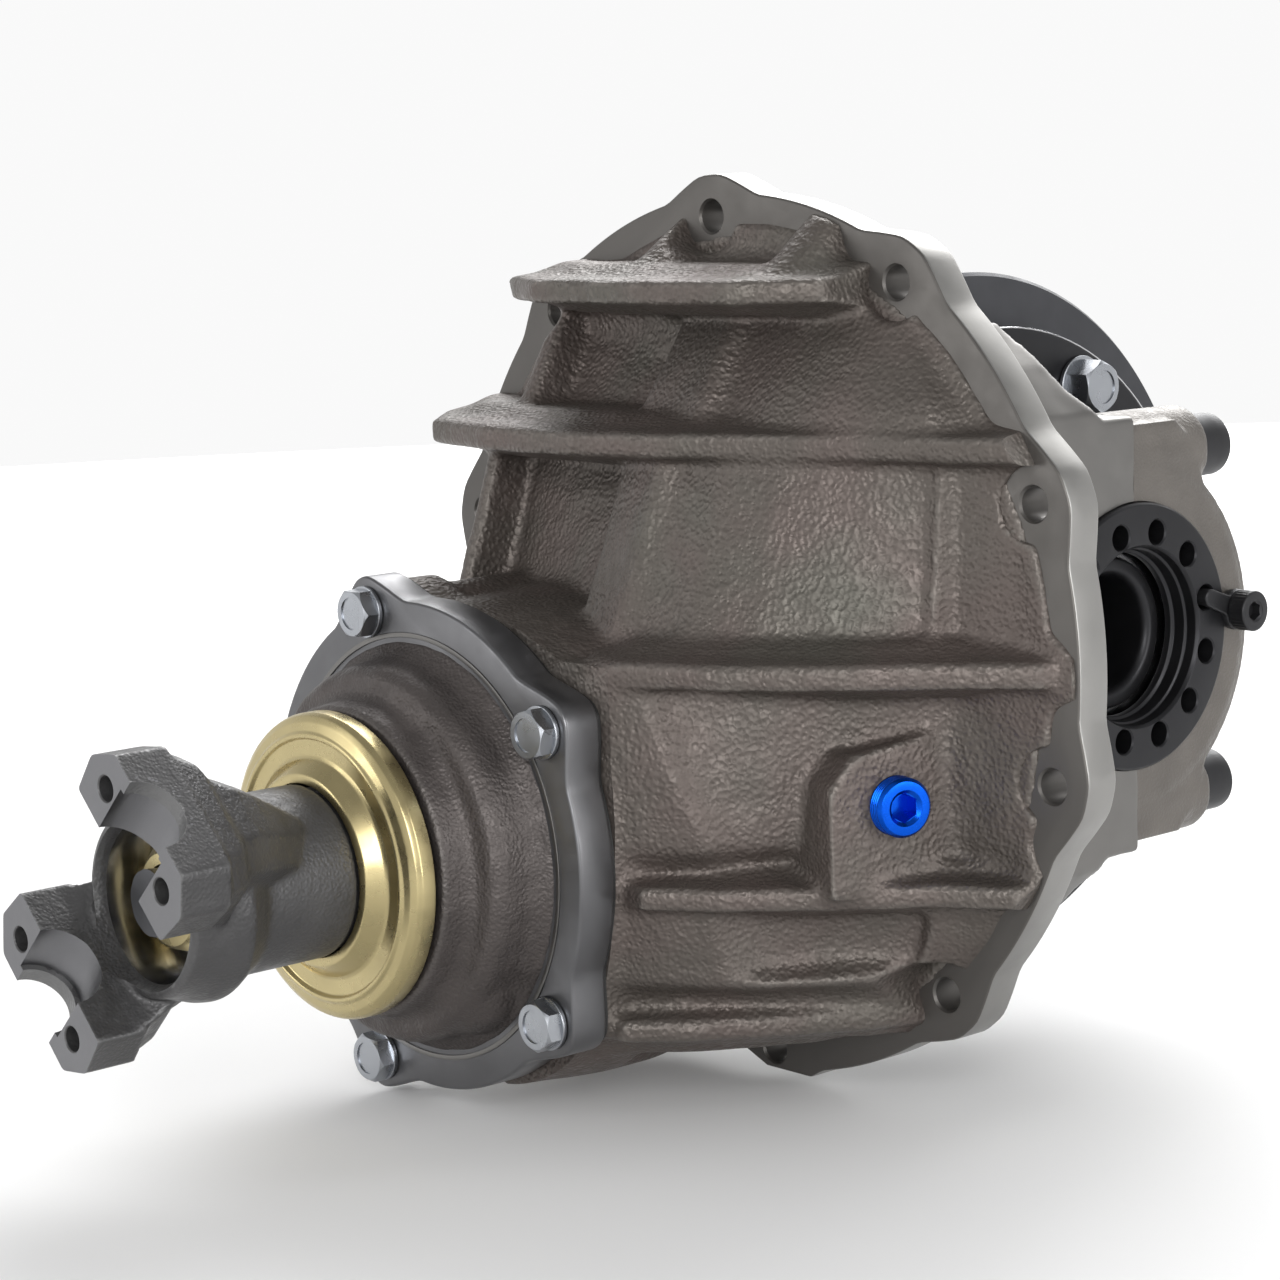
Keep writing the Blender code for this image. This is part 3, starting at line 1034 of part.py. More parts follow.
bearing("pilot_bearing", (PINION_X, 0, PINION_Z), "Y", 15.2, PILOT_BORE - GAP, 5.5, 19.5, 9, plain=True)
small_turned("pinion_bearing_spacer", [(23.5, -76.5), (21, -92), (23.5, -107.5), (19.8, -107.5),
                                       (19.8, -76.5)], MACHINED, 16)
yoke()
yoke_trim()
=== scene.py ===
"""Looks of a drop-out differential centre section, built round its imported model.

X is the axle axis, the pinion points to -Y and +Z is up. The origin is the middle of the flange's back face.
Sizes are in millimetres, and point() turns them into metres.
"""

import math

import bmesh
import bpy
from mathutils import Matrix, Vector, noise

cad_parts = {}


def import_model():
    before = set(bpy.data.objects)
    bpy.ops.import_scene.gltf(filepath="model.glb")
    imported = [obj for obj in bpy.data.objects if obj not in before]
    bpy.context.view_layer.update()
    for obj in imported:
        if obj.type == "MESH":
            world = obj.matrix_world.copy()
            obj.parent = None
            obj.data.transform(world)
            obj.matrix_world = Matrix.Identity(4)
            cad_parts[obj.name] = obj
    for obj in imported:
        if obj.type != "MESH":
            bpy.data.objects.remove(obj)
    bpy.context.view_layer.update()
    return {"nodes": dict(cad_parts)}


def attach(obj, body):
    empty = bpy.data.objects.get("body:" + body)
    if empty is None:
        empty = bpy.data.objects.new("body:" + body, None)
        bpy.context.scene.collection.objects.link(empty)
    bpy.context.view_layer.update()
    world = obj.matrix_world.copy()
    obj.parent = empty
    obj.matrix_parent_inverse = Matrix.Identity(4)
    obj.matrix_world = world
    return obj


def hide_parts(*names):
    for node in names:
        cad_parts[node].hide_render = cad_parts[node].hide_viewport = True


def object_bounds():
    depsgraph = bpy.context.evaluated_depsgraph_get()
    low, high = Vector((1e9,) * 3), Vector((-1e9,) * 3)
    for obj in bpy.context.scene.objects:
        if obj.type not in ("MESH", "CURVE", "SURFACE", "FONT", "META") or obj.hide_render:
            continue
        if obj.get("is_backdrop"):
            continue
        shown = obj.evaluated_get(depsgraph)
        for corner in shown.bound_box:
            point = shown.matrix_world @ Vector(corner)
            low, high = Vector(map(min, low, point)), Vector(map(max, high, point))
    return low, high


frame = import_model()

MM = 0.001
TAU = 2 * math.pi
FINE = 96                      # steps round a turned piece
CELL = 1.3                     # voxel size of the casting
ARC_PARTS = 3                  # straight parts of a rounded edge

# ---------------------------------------------------------------- sizes shared with the model (mm)
FLANGE_THICK = 13.0
FLANGE_RADIUS = 143.0
FLANGE_BOLT_CIRCLE = 136.0
FLANGE_LOBE = 16.5
FLANGE_LOBE_TOP = 149.35       # greatest radius of the lobes
FLANGE_HOLE = 5.2
FLANGE_HOLES = 10
FLANGE_FIRST_HOLE = -4.0       # degrees from +Z towards +X
# (x, z) outline cut away under the flange's lowest hole
FLANGE_FOOT = [(60, -200), (60, -142.5), (5.7, -142.5), (-9.5, -136.2), (-45, -136.2), (-45, -200)]
RIM_INNER = 141.5               # no rough casting outside this
CASTING_RADIUS = 133.0         # rough casting inside this, machined land outside
SCALLOP_RADIUS = 11.8          # round hollow in the casting for each stud nut
TONGUE_AT = 144.0              # the casting's tongues are placed and measured at this radius
TONGUE_HALF = 12.0             # half the width of a tongue at its root
TONGUE_LENGTH = 10.5           # how far a tongue runs out over the land
REGISTER_RADIUS = 124.0        # what stands behind the flange stays inside this

AXLE_Y = 62.3
PINION_X = -50.5
PINION_Z = -60.45

RING_RADIUS = 114.3
RING_BORE = 78.0
RING_BACK_X = 32.0
RING_TEETH = 35
PINION_TEETH = 9
PITCH_RADIUS = 38.0
PITCH_Y = -15.0
PINION_TAPER = 0.2
PINION_TWIST = -0.0307
TOOTH_ADDENDUM = 2.4
TOOTH_DEDENDUM = 4.8

CASE_FLANGE_RADIUS = 96.7
CASE_FLANGE_X = 46.0
CARRIER_BOLT_CIRCLE = 84.0
CARRIER_BOLTS = 10
CARRIER_FIRST_BOLT = 27.0
JOURNAL_RADIUS = 24.4
AXLE_BORE = 18.5
DIFF_CENTRE_X = -3.0
CROSS_PIN_RADIUS = 9.0

PEDESTAL_IN = 71.0
PEDESTAL_OUT = 101.3
PEDESTAL_HALF_Z = 70.0
SADDLE_RADIUS = 43.0
CAP_BOLT_Z = 56.0
CAP_BOLT_X = 86.0
CAP_SEAT_Y = 101.0
CAP_BACK_RADIUS = 60.2
ADJUSTER_OUT = 103.5
ADJUSTER_THICK = 12.0
ADJUSTER_BORE = 27.5
SPANNER_CIRCLE = 33.6
SPANNER_HOLE = 4.0
SPANNER_HOLES = 12
SPANNER_FIRST = 15.4           # degrees from +Y towards +Z
LOCK_SCREW_Y = 109.0
LOCK_SCREW_Z = 3.5

PAD_Y = -94.5
SUPPORT_FRONT_Y = -109.6
SUPPORT_RADIUS = 79.0
SUPPORT_LOBE = 12.6
SUPPORT_BOLT_CIRCLE = 77.5
SUPPORT_BOLTS = 5
SUPPORT_FIRST_BOLT = -17.0
SPIGOT_RADIUS = 50.0
SUPPORT_BORE = 46.2
PILOT_BORE = 24.0

YOKE_FACE_Y = -233.4
YOKE_ANGLE = 45.0
YOKE_PAD_U = 37.9
YOKE_PAD_V = 18.7
YOKE_HUB_RADIUS = 27.0
JOINT_CAP_RADIUS = 13.5
SLINGER_RADIUS = 48.6

PLUG_AT = (92.8, -38.5, -39.6)
PLUG_RADIUS = 9.2
PLUG_YAW = -17.0

GAP = 0.3


# ---------------------------------------------------------------- mesh helpers
def point(x, y, z):
    return Vector((x * MM, y * MM, z * MM))


TURN = {
    "X": Matrix.Rotation(math.pi / 2, 4, "Y"),
    "-X": Matrix.Rotation(-math.pi / 2, 4, "Y"),
    "Y": Matrix.Rotation(-math.pi / 2, 4, "X"),
    "-Y": Matrix.Rotation(math.pi / 2, 4, "X"),
    "Z": Matrix.Identity(4),
}


def place(at=(0, 0, 0), axis="Z"):
    """Frame at a point, with its local Z along the named axis."""
    return Matrix.Translation(point(*at)) @ TURN[axis]


AXLE_PLACE = place((0, AXLE_Y, 0), "X")
PINION_PLACE = place((PINION_X, 0, PINION_Z), "Y")
OUTWARDS = {1: "X", -1: "-X"}  # the axis that points out of the right and of the left side


def add(name, mesh, where=None):
    item = bpy.data.objects.new(name, mesh)
    item.matrix_world = where or Matrix.Identity(4)
    bpy.context.scene.collection.objects.link(item)
    return item


def applied(item):
    """Bake an object's modifiers into its mesh."""
    bpy.context.view_layer.update()
    solid = bpy.data.meshes.new_from_object(item.evaluated_get(bpy.context.evaluated_depsgraph_get()))
    item.modifiers.clear()
    item.data = solid


def shade(item, angle=35):
    item.data.shade_smooth()
    item.data.set_sharp_from_angle(angle=math.radians(angle))
    return item


def skin(name, rows, where=None, closed=False, caps=True):
    """Loft through rows of points, each row a closed ring."""
    work = bmesh.new()
    rings = [[work.verts.new(spot) for spot in row] for row in rows]
    count = len(rings[0])
    pairs = list(zip(rings, rings[1:]))
    if closed:
        pairs.append((rings[-1], rings[0]))
    elif caps:
        work.faces.new(rings[0])
        work.faces.new(rings[-1])
    for here, there in pairs:
        for i in range(count):
            k = (i + 1) % count
            work.faces.new((here[i], here[k], there[k], there[i]))
    bmesh.ops.remove_doubles(work, verts=work.verts, dist=1e-7)
    bmesh.ops.recalc_face_normals(work, faces=work.faces)
    mesh = bpy.data.meshes.new(name)
    work.to_mesh(mesh)
    work.free()
    return shade(add(name, mesh, where))


def rounded(outline, radius, closed=True):
    """The outline with each corner turned into a small arc."""
    result = []
    count = len(outline)
    for i, corner in enumerate(outline):
        if not closed and i in (0, count - 1):
            result.append(Vector(corner))
            continue
        here = Vector(corner)
        before = Vector(outline[i - 1]) - here
        after = Vector(outline[(i + 1) % count]) - here
        start = here + before.normalized() * min(radius, before.length * 0.45)
        end = here + after.normalized() * min(radius, after.length * 0.45)
        for j in range(ARC_PARTS + 1):
            t = j / ARC_PARTS
            result.append((1 - t) ** 2 * start + 2 * t * (1 - t) * here + t * t * end)
    return result


def lathe(name, profile, where, edge=0.5, steps=FINE, ripple=None):
    """Solid of revolution about local Z. The profile is (radius, height) points down the outer side.

    edge rounds the corners; ripple(radius, height, turn) moves a point in or out.
    """
    solid = profile[0][0] > 0
    line = rounded(profile, edge, closed=solid) if edge else [Vector(spot) for spot in profile]
    rows = []
    for radius, height in line:
        row = []
        for i in range(steps):
            turn = TAU * i / steps
            reach = radius + (ripple(radius, height, turn) if ripple else 0)
            row.append(point(reach * math.cos(turn), reach * math.sin(turn), height))
        rows.append(row)
    return skin(name, rows, where, closed=solid, caps=False)


def bar(radius, high, low, inner=0):
    """Profile of a plain cylinder, or of a tube."""
    return [(inner, high), (radius, high), (radius, low), (inner, low)]


def inset(outline, depth):
    """The outline moved inwards by a depth, along each corner's normal."""
    area = sum(a[0] * b[1] - b[0] * a[1] for a, b in zip(outline, outline[1:] + outline[:1]))
    side = 1 if area > 0 else -1
    moved = []
    for i, here in enumerate(outline):
        before = outline[i - 1]
        after = outline[(i + 1) % len(outline)]
        along = (Vector(after) - Vector(before)).normalized()
        moved.append((here[0] - side * along.y * depth, here[1] + side * along.x * depth))
    return moved


def prism(name, outline, low, high, where=None, edge=0.0):
    """Flat outline in local X-Y, thickened along local Z, with rounded rims."""
    outline = [tuple(spot) for spot in outline]
    levels = [(low, 0.0), (high, 0.0)]
    if edge:
        turns = [math.pi / 2 * i / ARC_PARTS for i in range(ARC_PARTS + 1)]
        arc = [(1 - math.cos(turn), 1 - math.sin(turn)) for turn in turns]
        levels = [(low + edge * rise, edge * draw) for rise, draw in arc]
        levels += [(high - edge * rise, edge * draw) for rise, draw in reversed(arc)]
    rows = [[point(u, v, height) for u, v in (inset(outline, draw) if draw else outline)]
            for height, draw in levels]
    return skin(name, rows, where)


# Prism frames: an outline of (x, z) thickened along Y, and one of (y, z) along X.
FACING_Y = Matrix(((1, 0, 0, 0), (0, 0, 1, 0), (0, 1, 0, 0), (0, 0, 0, 1)))
FACING_X = Matrix(((0, 0, 1, 0), (1, 0, 0, 0), (0, 1, 0, 0), (0, 0, 0, 1)))


def world_mesh(item):
    """An object's mesh in the row frame, with its faces pointing out."""
    mesh = item.data.copy()
    mesh.transform(item.matrix_world)
    if item.matrix_world.determinant() < 0:
        mesh.flip_normals()
    return mesh


def settle(item):
    """Move an object's place into its mesh."""
    item.data = world_mesh(item)
    item.matrix_world = Matrix.Identity(4)
    return item


def recentre(item, where):
    """Give an object whose mesh is in the row frame a frame of its own, without moving its surface."""
    item.data.transform(where.inverted())
    item.matrix_world = where


def carve(item, *tools, operation="DIFFERENCE"):
    """Cut solids out of an object, or join them to it."""
    for tool in tools:
        settle(tool)
        step = item.modifiers.new("carve", "BOOLEAN")
        step.operation = operation
        step.solver = "MANIFOLD"
        step.object = tool
    applied(item)
    for tool in tools:
        bpy.data.objects.remove(tool, do_unlink=True)
    return shade(item)


def cast(name, solids, cell=CELL, rounds=0):
    """One soft-edged skin round overlapping solids, as a casting or a forging has."""
    work = bmesh.new()
    for solid in solids:
        work.from_mesh(world_mesh(solid))
        bpy.data.objects.remove(solid, do_unlink=True)
    mesh = bpy.data.meshes.new(name)
    work.to_mesh(mesh)
    work.free()
    item = add(name, mesh)
    remesh = item.modifiers.new("skin", "REMESH")
    remesh.mode = "VOXEL"
    remesh.voxel_size = cell * MM
    if rounds:
        soften = item.modifiers.new("soften", "SMOOTH")
        soften.factor = 0.5
        soften.iterations = rounds
    applied(item)
    item.data.shade_smooth()
    return item


def roughen(item, depth, scale):
    """Uneven foundry surface: push each point along its normal by smooth noise."""
    spots = []
    for vert in item.data.vertices:
        spots.extend(vert.co + vert.normal * (noise.noise(vert.co * scale) * depth * MM))
    item.data.vertices.foreach_set("co", spots)
    item.data.update()


def clock(radius, degrees, centre=(0, 0)):
    """(x, z) at an angle from +Z towards +X."""
    turn = math.radians(degrees)
    return centre[0] + radius * math.sin(turn), centre[1] + radius * math.cos(turn)


def lobed(base, circle, lobe, count, first, centre=(0, 0), top=math.inf, blend=6):
    """Round outline with a lobe, no higher than top, at each of its bolt holes, and soft hollows between."""
    steps = 720
    reaches = []
    for i in range(steps):
        off = (360 * i / steps - first + 180 / count) % (360 / count) - 180 / count
        across = circle * math.sin(math.radians(off))
        reach = base
        if abs(across) < lobe:
            reach = max(base, circle * math.cos(math.radians(off)) + math.sqrt(lobe ** 2 - across ** 2))
        reaches.append(min(reach, top))
    outline = []
    for i in range(0, steps, 2):
        near = [reaches[(i + k) % steps] for k in range(-blend, blend + 1)]
        outline.append(clock(sum(near) / len(near), 360 * i / steps, centre))
    return outline


def hexagon(across_flats, turn=0.0):
    corner = across_flats / math.sqrt(3)
    return [(corner * math.cos(math.radians(60 * i + turn)), corner * math.sin(math.radians(60 * i + turn)))
            for i in range(6)]


def on_axle(radius, degrees):
    """(y, z) at an angle from +Y towards +Z about the axle axis."""
    turn = math.radians(degrees)
    return AXLE_Y + radius * math.cos(turn), radius * math.sin(turn)


def finish(item, body, slot, nodes, *materials):
    """Materials and body of a piece that stands for CAD nodes, whose nodes it hides. The slot argument is not
    used.
    """
    item.data.materials.clear()
    for made in materials:
        item.data.materials.append(made)
    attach(item, body)
    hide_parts(*nodes)


def paint(item, index, chosen):
    """Give the faces that a test picks, by centre (mm) and normal, another of the object's materials."""
    for face in item.data.polygons:
        if chosen(face.center / MM, face.normal):
            face.material_index = index


# ---------------------------------------------------------------- materials
class Finish:
    """A procedural metal: colour that varies, roughness that varies, and relief."""

    def __init__(self, name, colour, metallic, roughness):
        self.made = bpy.data.materials.new(name)
        self.made.use_nodes = True
        self.nodes = self.made.node_tree.nodes
        self.shader = self.nodes["Principled BSDF"]
        self.shader.inputs["Metallic"].default_value = metallic
        self.shader.inputs["Roughness"].default_value = roughness
        self.shader.inputs["Base Color"].default_value = (*colour, 1)
        self.place = self.node("ShaderNodeTexCoord").outputs["Object"]
        self.normal = None
        self.colour = None

    def node(self, kind, **values):
        """New shader node. Each value is a setting, an input's constant, or another node's output."""
        made = self.nodes.new(kind)
        for key, value in values.items():
            if key not in made.inputs:
                setattr(made, key, value)
            elif isinstance(value, bpy.types.NodeSocket):
                self.link(value, made.inputs[key])
            else:
                made.inputs[key].default_value = value
        return made

    def link(self, start, end):
        self.made.node_tree.links.new(start, end)

    def noise(self, scale, detail=2.0, rough=0.5, place=None):
        return self.node("ShaderNodeTexNoise", Scale=scale, Detail=detail, Roughness=rough,
                         Vector=place or self.place).outputs["Fac"]

    def span(self, value, low, high, to_low=0.0, to_high=1.0):
        limits = {"From Min": low, "From Max": high, "To Min": to_low, "To Max": to_high}
        return self.node("ShaderNodeMapRange", Value=value, **limits).outputs["Result"]

    def vary_colour(self, factor, first, second):
        """Mix from what the colour is so far (or first) to second."""
        made = self.node("ShaderNodeMix", data_type="RGBA")
        made.inputs[6].default_value = (*first, 1) if first else (0, 0, 0, 1)
        made.inputs[7].default_value = (*second, 1)
        if self.colour is not None:
            self.link(self.colour, made.inputs[6])
        self.link(factor, made.inputs[0])
        self.colour = made.outputs[2]
        self.link(self.colour, self.shader.inputs["Base Color"])

    def vary_roughness(self, value, low, high):
        self.link(self.span(value, 0.3, 0.7, low, high), self.shader.inputs["Roughness"])

    def relief(self, height, depth_mm, strength):
        """Bump whose full height is about depth_mm."""
        made = self.node("ShaderNodeBump", Height=height, Strength=strength, Distance=depth_mm * MM)
        if self.normal is not None:
            self.link(self.normal, made.inputs["Normal"])
        self.normal = made.outputs["Normal"]
        self.link(self.normal, self.shader.inputs["Normal"])

    def pebbles(self, scale):
        """Round grains, as sand leaves on a casting."""
        drift = self.node("ShaderNodeTexNoise", Scale=scale * 0.5, Vector=self.place)
        scaled = self.node("ShaderNodeVectorMath", operation="SCALE", Scale=0.9 / scale)
        wander = self.node("ShaderNodeVectorMath", operation="ADD")
        self.link(drift.outputs["Color"], scaled.inputs[0])
        self.link(self.place, wander.inputs[0])
        self.link(scaled.outputs["Vector"], wander.inputs[1])
        return self.node("ShaderNodeTexVoronoi", feature="SMOOTH_F1", Scale=scale, Smoothness=0.6,
                         Vector=wander.outputs["Vector"]).outputs["Distance"]

    def turned_lines(self, scale):
        """Fine lines round the piece's own Z axis, as a lathe leaves."""
        parts = self.node("ShaderNodeSeparateXYZ", Vector=self.place).outputs
        flat = self.node("ShaderNodeCombineXYZ", X=parts["X"], Y=parts["Y"])
        length = self.node("ShaderNodeVectorMath", operation="LENGTH")
        self.link(flat.outputs["Vector"], length.inputs[0])
        joined = self.node("ShaderNodeCombineXYZ", X=length.outputs["Value"], Y=parts["Z"])
        return self.noise(scale, 3.0, 0.6, joined.outputs["Vector"])

    def brushed_lines(self, scale, stretch):
        """Fine parallel lines; stretch is how far each axis is squeezed."""
        made = self.node("ShaderNodeMapping", Scale=stretch, Vector=self.place)
        return self.noise(scale, 3.0, 0.6, made.outputs["Vector"])

    def edges(self, low, high):
        """1 on sharp outer edges, where a painted highlight goes, 0 elsewhere."""
        return self.span(self.node("ShaderNodeNewGeometry").outputs["Pointiness"], low, high)


def rough_metal(name, colour, grain, depth, metallic=0.55, roughness=0.46, warm=None, cool=None, painted_edge_highlight=None):
    made = Finish(name, colour, metallic, roughness)
    if warm:
        made.vary_colour(made.span(made.noise(26, 2), 0.42, 0.62), colour, warm)
        made.vary_colour(made.span(made.noise(19, 2), 0.55, 0.72, 0.0, 0.8), None, cool)
    else:
        made.vary_colour(made.span(made.noise(60, 3), 0.35, 0.7), colour, tuple(c * 1.25 for c in colour))
    # Painted highlight: sharp outer edges are lightened towards the last colour given.
    if painted_edge_highlight:
        made.vary_colour(made.edges(0.515, 0.56), None, painted_edge_highlight)
    made.vary_roughness(made.noise(240, 3), roughness - 0.07, roughness + 0.1)
    made.relief(made.noise(160, 3, 0.6), 0.5, 0.35)
    made.relief(made.pebbles(grain), depth, 0.9)
    return made.made


def turned_metal(name, colour, roughness, metallic=1.0, lines=1400, depth=0.02, tint=1.2):
    made = Finish(name, colour, metallic, roughness)
    made.vary_colour(made.span(made.noise(45, 3), 0.35, 0.68), colour, tuple(c * tint for c in colour))
    made.vary_roughness(made.noise(130, 3), roughness - 0.05, roughness + 0.09)
    made.relief(made.turned_lines(lines), depth, 0.6)
    return made.made


def milled_metal(name, colour, roughness, stretch=(1, 0.04, 1), metallic=1.0):
    made = Finish(name, colour, metallic, roughness)
    made.vary_colour(made.span(made.noise(24, 3), 0.3, 0.75), colour, tuple(c * 1.12 for c in colour))
    made.vary_roughness(made.noise(90, 3), roughness - 0.06, roughness + 0.1)
    made.relief(made.brushed_lines(900, stretch), 0.03, 0.5)
    made.relief(made.noise(500, 2), 0.03, 0.4)
    return made.made


# The last colour of cast_iron, nose_iron and forged_steel is a painted highlight on their sharp outer edges.
CAST_IRON = rough_metal("cast_iron", (0.098, 0.085, 0.075), 620, 0.5, warm=(0.11, 0.09, 0.081),
                        cool=(0.092, 0.09, 0.076), painted_edge_highlight=(0.17, 0.155, 0.14))
NOSE_IRON = rough_metal("nose_iron", (0.066, 0.057, 0.054), 900, 0.3, painted_edge_highlight=(0.13, 0.12, 0.112))
CAP_IRON = rough_metal("cap_iron", (0.112, 0.102, 0.092), 1100, 0.16, roughness=0.42)
FORGED = rough_metal("forged_steel", (0.07, 0.069, 0.07), 900, 0.16, roughness=0.42, painted_edge_highlight=(0.15, 0.15, 0.15))
LAND = milled_metal("flange_land", (0.1, 0.094, 0.088), 0.4, (1, 1, 1), 0.7)
RIM = milled_metal("flange_rim", (0.28, 0.275, 0.265), 0.36)
SUPPORT_FACE = turned_metal("support_face", (0.135, 0.135, 0.14), 0.36, 0.9, 900, 0.02)
MACHINED = milled_metal("machined_iron", (0.17, 0.165, 0.158), 0.38, (1, 1, 1))
PAD_STEEL = milled_metal("pad_steel", (0.17, 0.17, 0.177), 0.36, (0.2, 1, 1))
GEAR_STEEL = turned_metal("gear_steel", (0.085, 0.086, 0.092), 0.36, 0.95, 1100, 0.02)
RING_BACK = turned_metal("ring_gear_back", (0.06, 0.061, 0.066), 0.42, 0.9, 700, 0.03)
BLACK = turned_metal("black_oxide", (0.022, 0.022, 0.024), 0.36, 0.75, 1200, 0.02)
BLACK_SCREW = turned_metal("black_screw", (0.028, 0.028, 0.03), 0.42, 0.7, 1500, 0.03)
ZINC = turned_metal("bright_zinc", (0.36, 0.375, 0.40), 0.27, 1.0, 1500, 0.012, 1.1)
GOLD = turned_metal("gold_zinc", (0.47, 0.395, 0.21), 0.27, 1.0, 1000, 0.01, 1.08)
POLISHED = turned_metal("ground_steel", (0.42, 0.42, 0.43), 0.18, 1.0, 2000, 0.01)
BLUE = turned_metal("blue_anodised", (0.002, 0.07, 0.5), 0.22, 0.95, 1500, 0.015)
RUBBER = turned_metal("black_rubber", (0.012, 0.012, 0.012), 0.6, 0.0, 800, 0.02)


# ---------------------------------------------------------------- gear case
# Barrel round the pinion, widening into the flange: (x, z) outlines at chosen y, clockwise from the top.
BARREL = {
    -97: [(-50, 16), (-28, 14), (-8, 8), (8, 0), (19, -12), (25, -30), (26, -52), (24, -76), (18, -100),
          (4, -122), (-18, -135), (-45, -139), (-75, -135), (-100, -118), (-117, -92), (-124, -60),
          (-117, -26), (-88, 6)],
    -70: [(-50, 17), (-28, 15), (-6, 10), (12, 3), (26, -10), (36, -30), (38, -52), (36, -76), (28, -104),
          (10, -125), (-16, -137), (-45, -139), (-73, -134), (-99, -116), (-116, -90), (-122, -58),
          (-115, -24), (-88, 8)],
    -50: [(-50, 18), (-24, 16), (0, 10), (20, 0), (40, -10), (50, -30), (50, -54), (46, -80), (36, -106),
          (16, -124), (-14, -135), (-45, -136), (-74, -130), (-101, -110), (-119, -82), (-125, -50),
          (-119, -16), (-94, 12)],
    -30: [(-50, 20), (-20, 24), (10, 26), (40, 24), (62, 10), (74, -20), (74, -56), (64, -88), (44, -110),
          (18, -122), (-16, -129), (-50, -127), (-82, -114), (-108, -88), (-125, -56), (-129, -20),
          (-120, 14), (-90, 24)],
    -10: [(0, 131), (45, 123), (84, 100), (113, 66), (129, 22), (130, -20), (116, -60), (90, -95),
          (55, -119), (18, -130), (-26, -128), (-65, -113), (-97, -88), (-119, -54), (-130, -14),
          (-127, 30), (-108, 74), (-60, 116)],
}

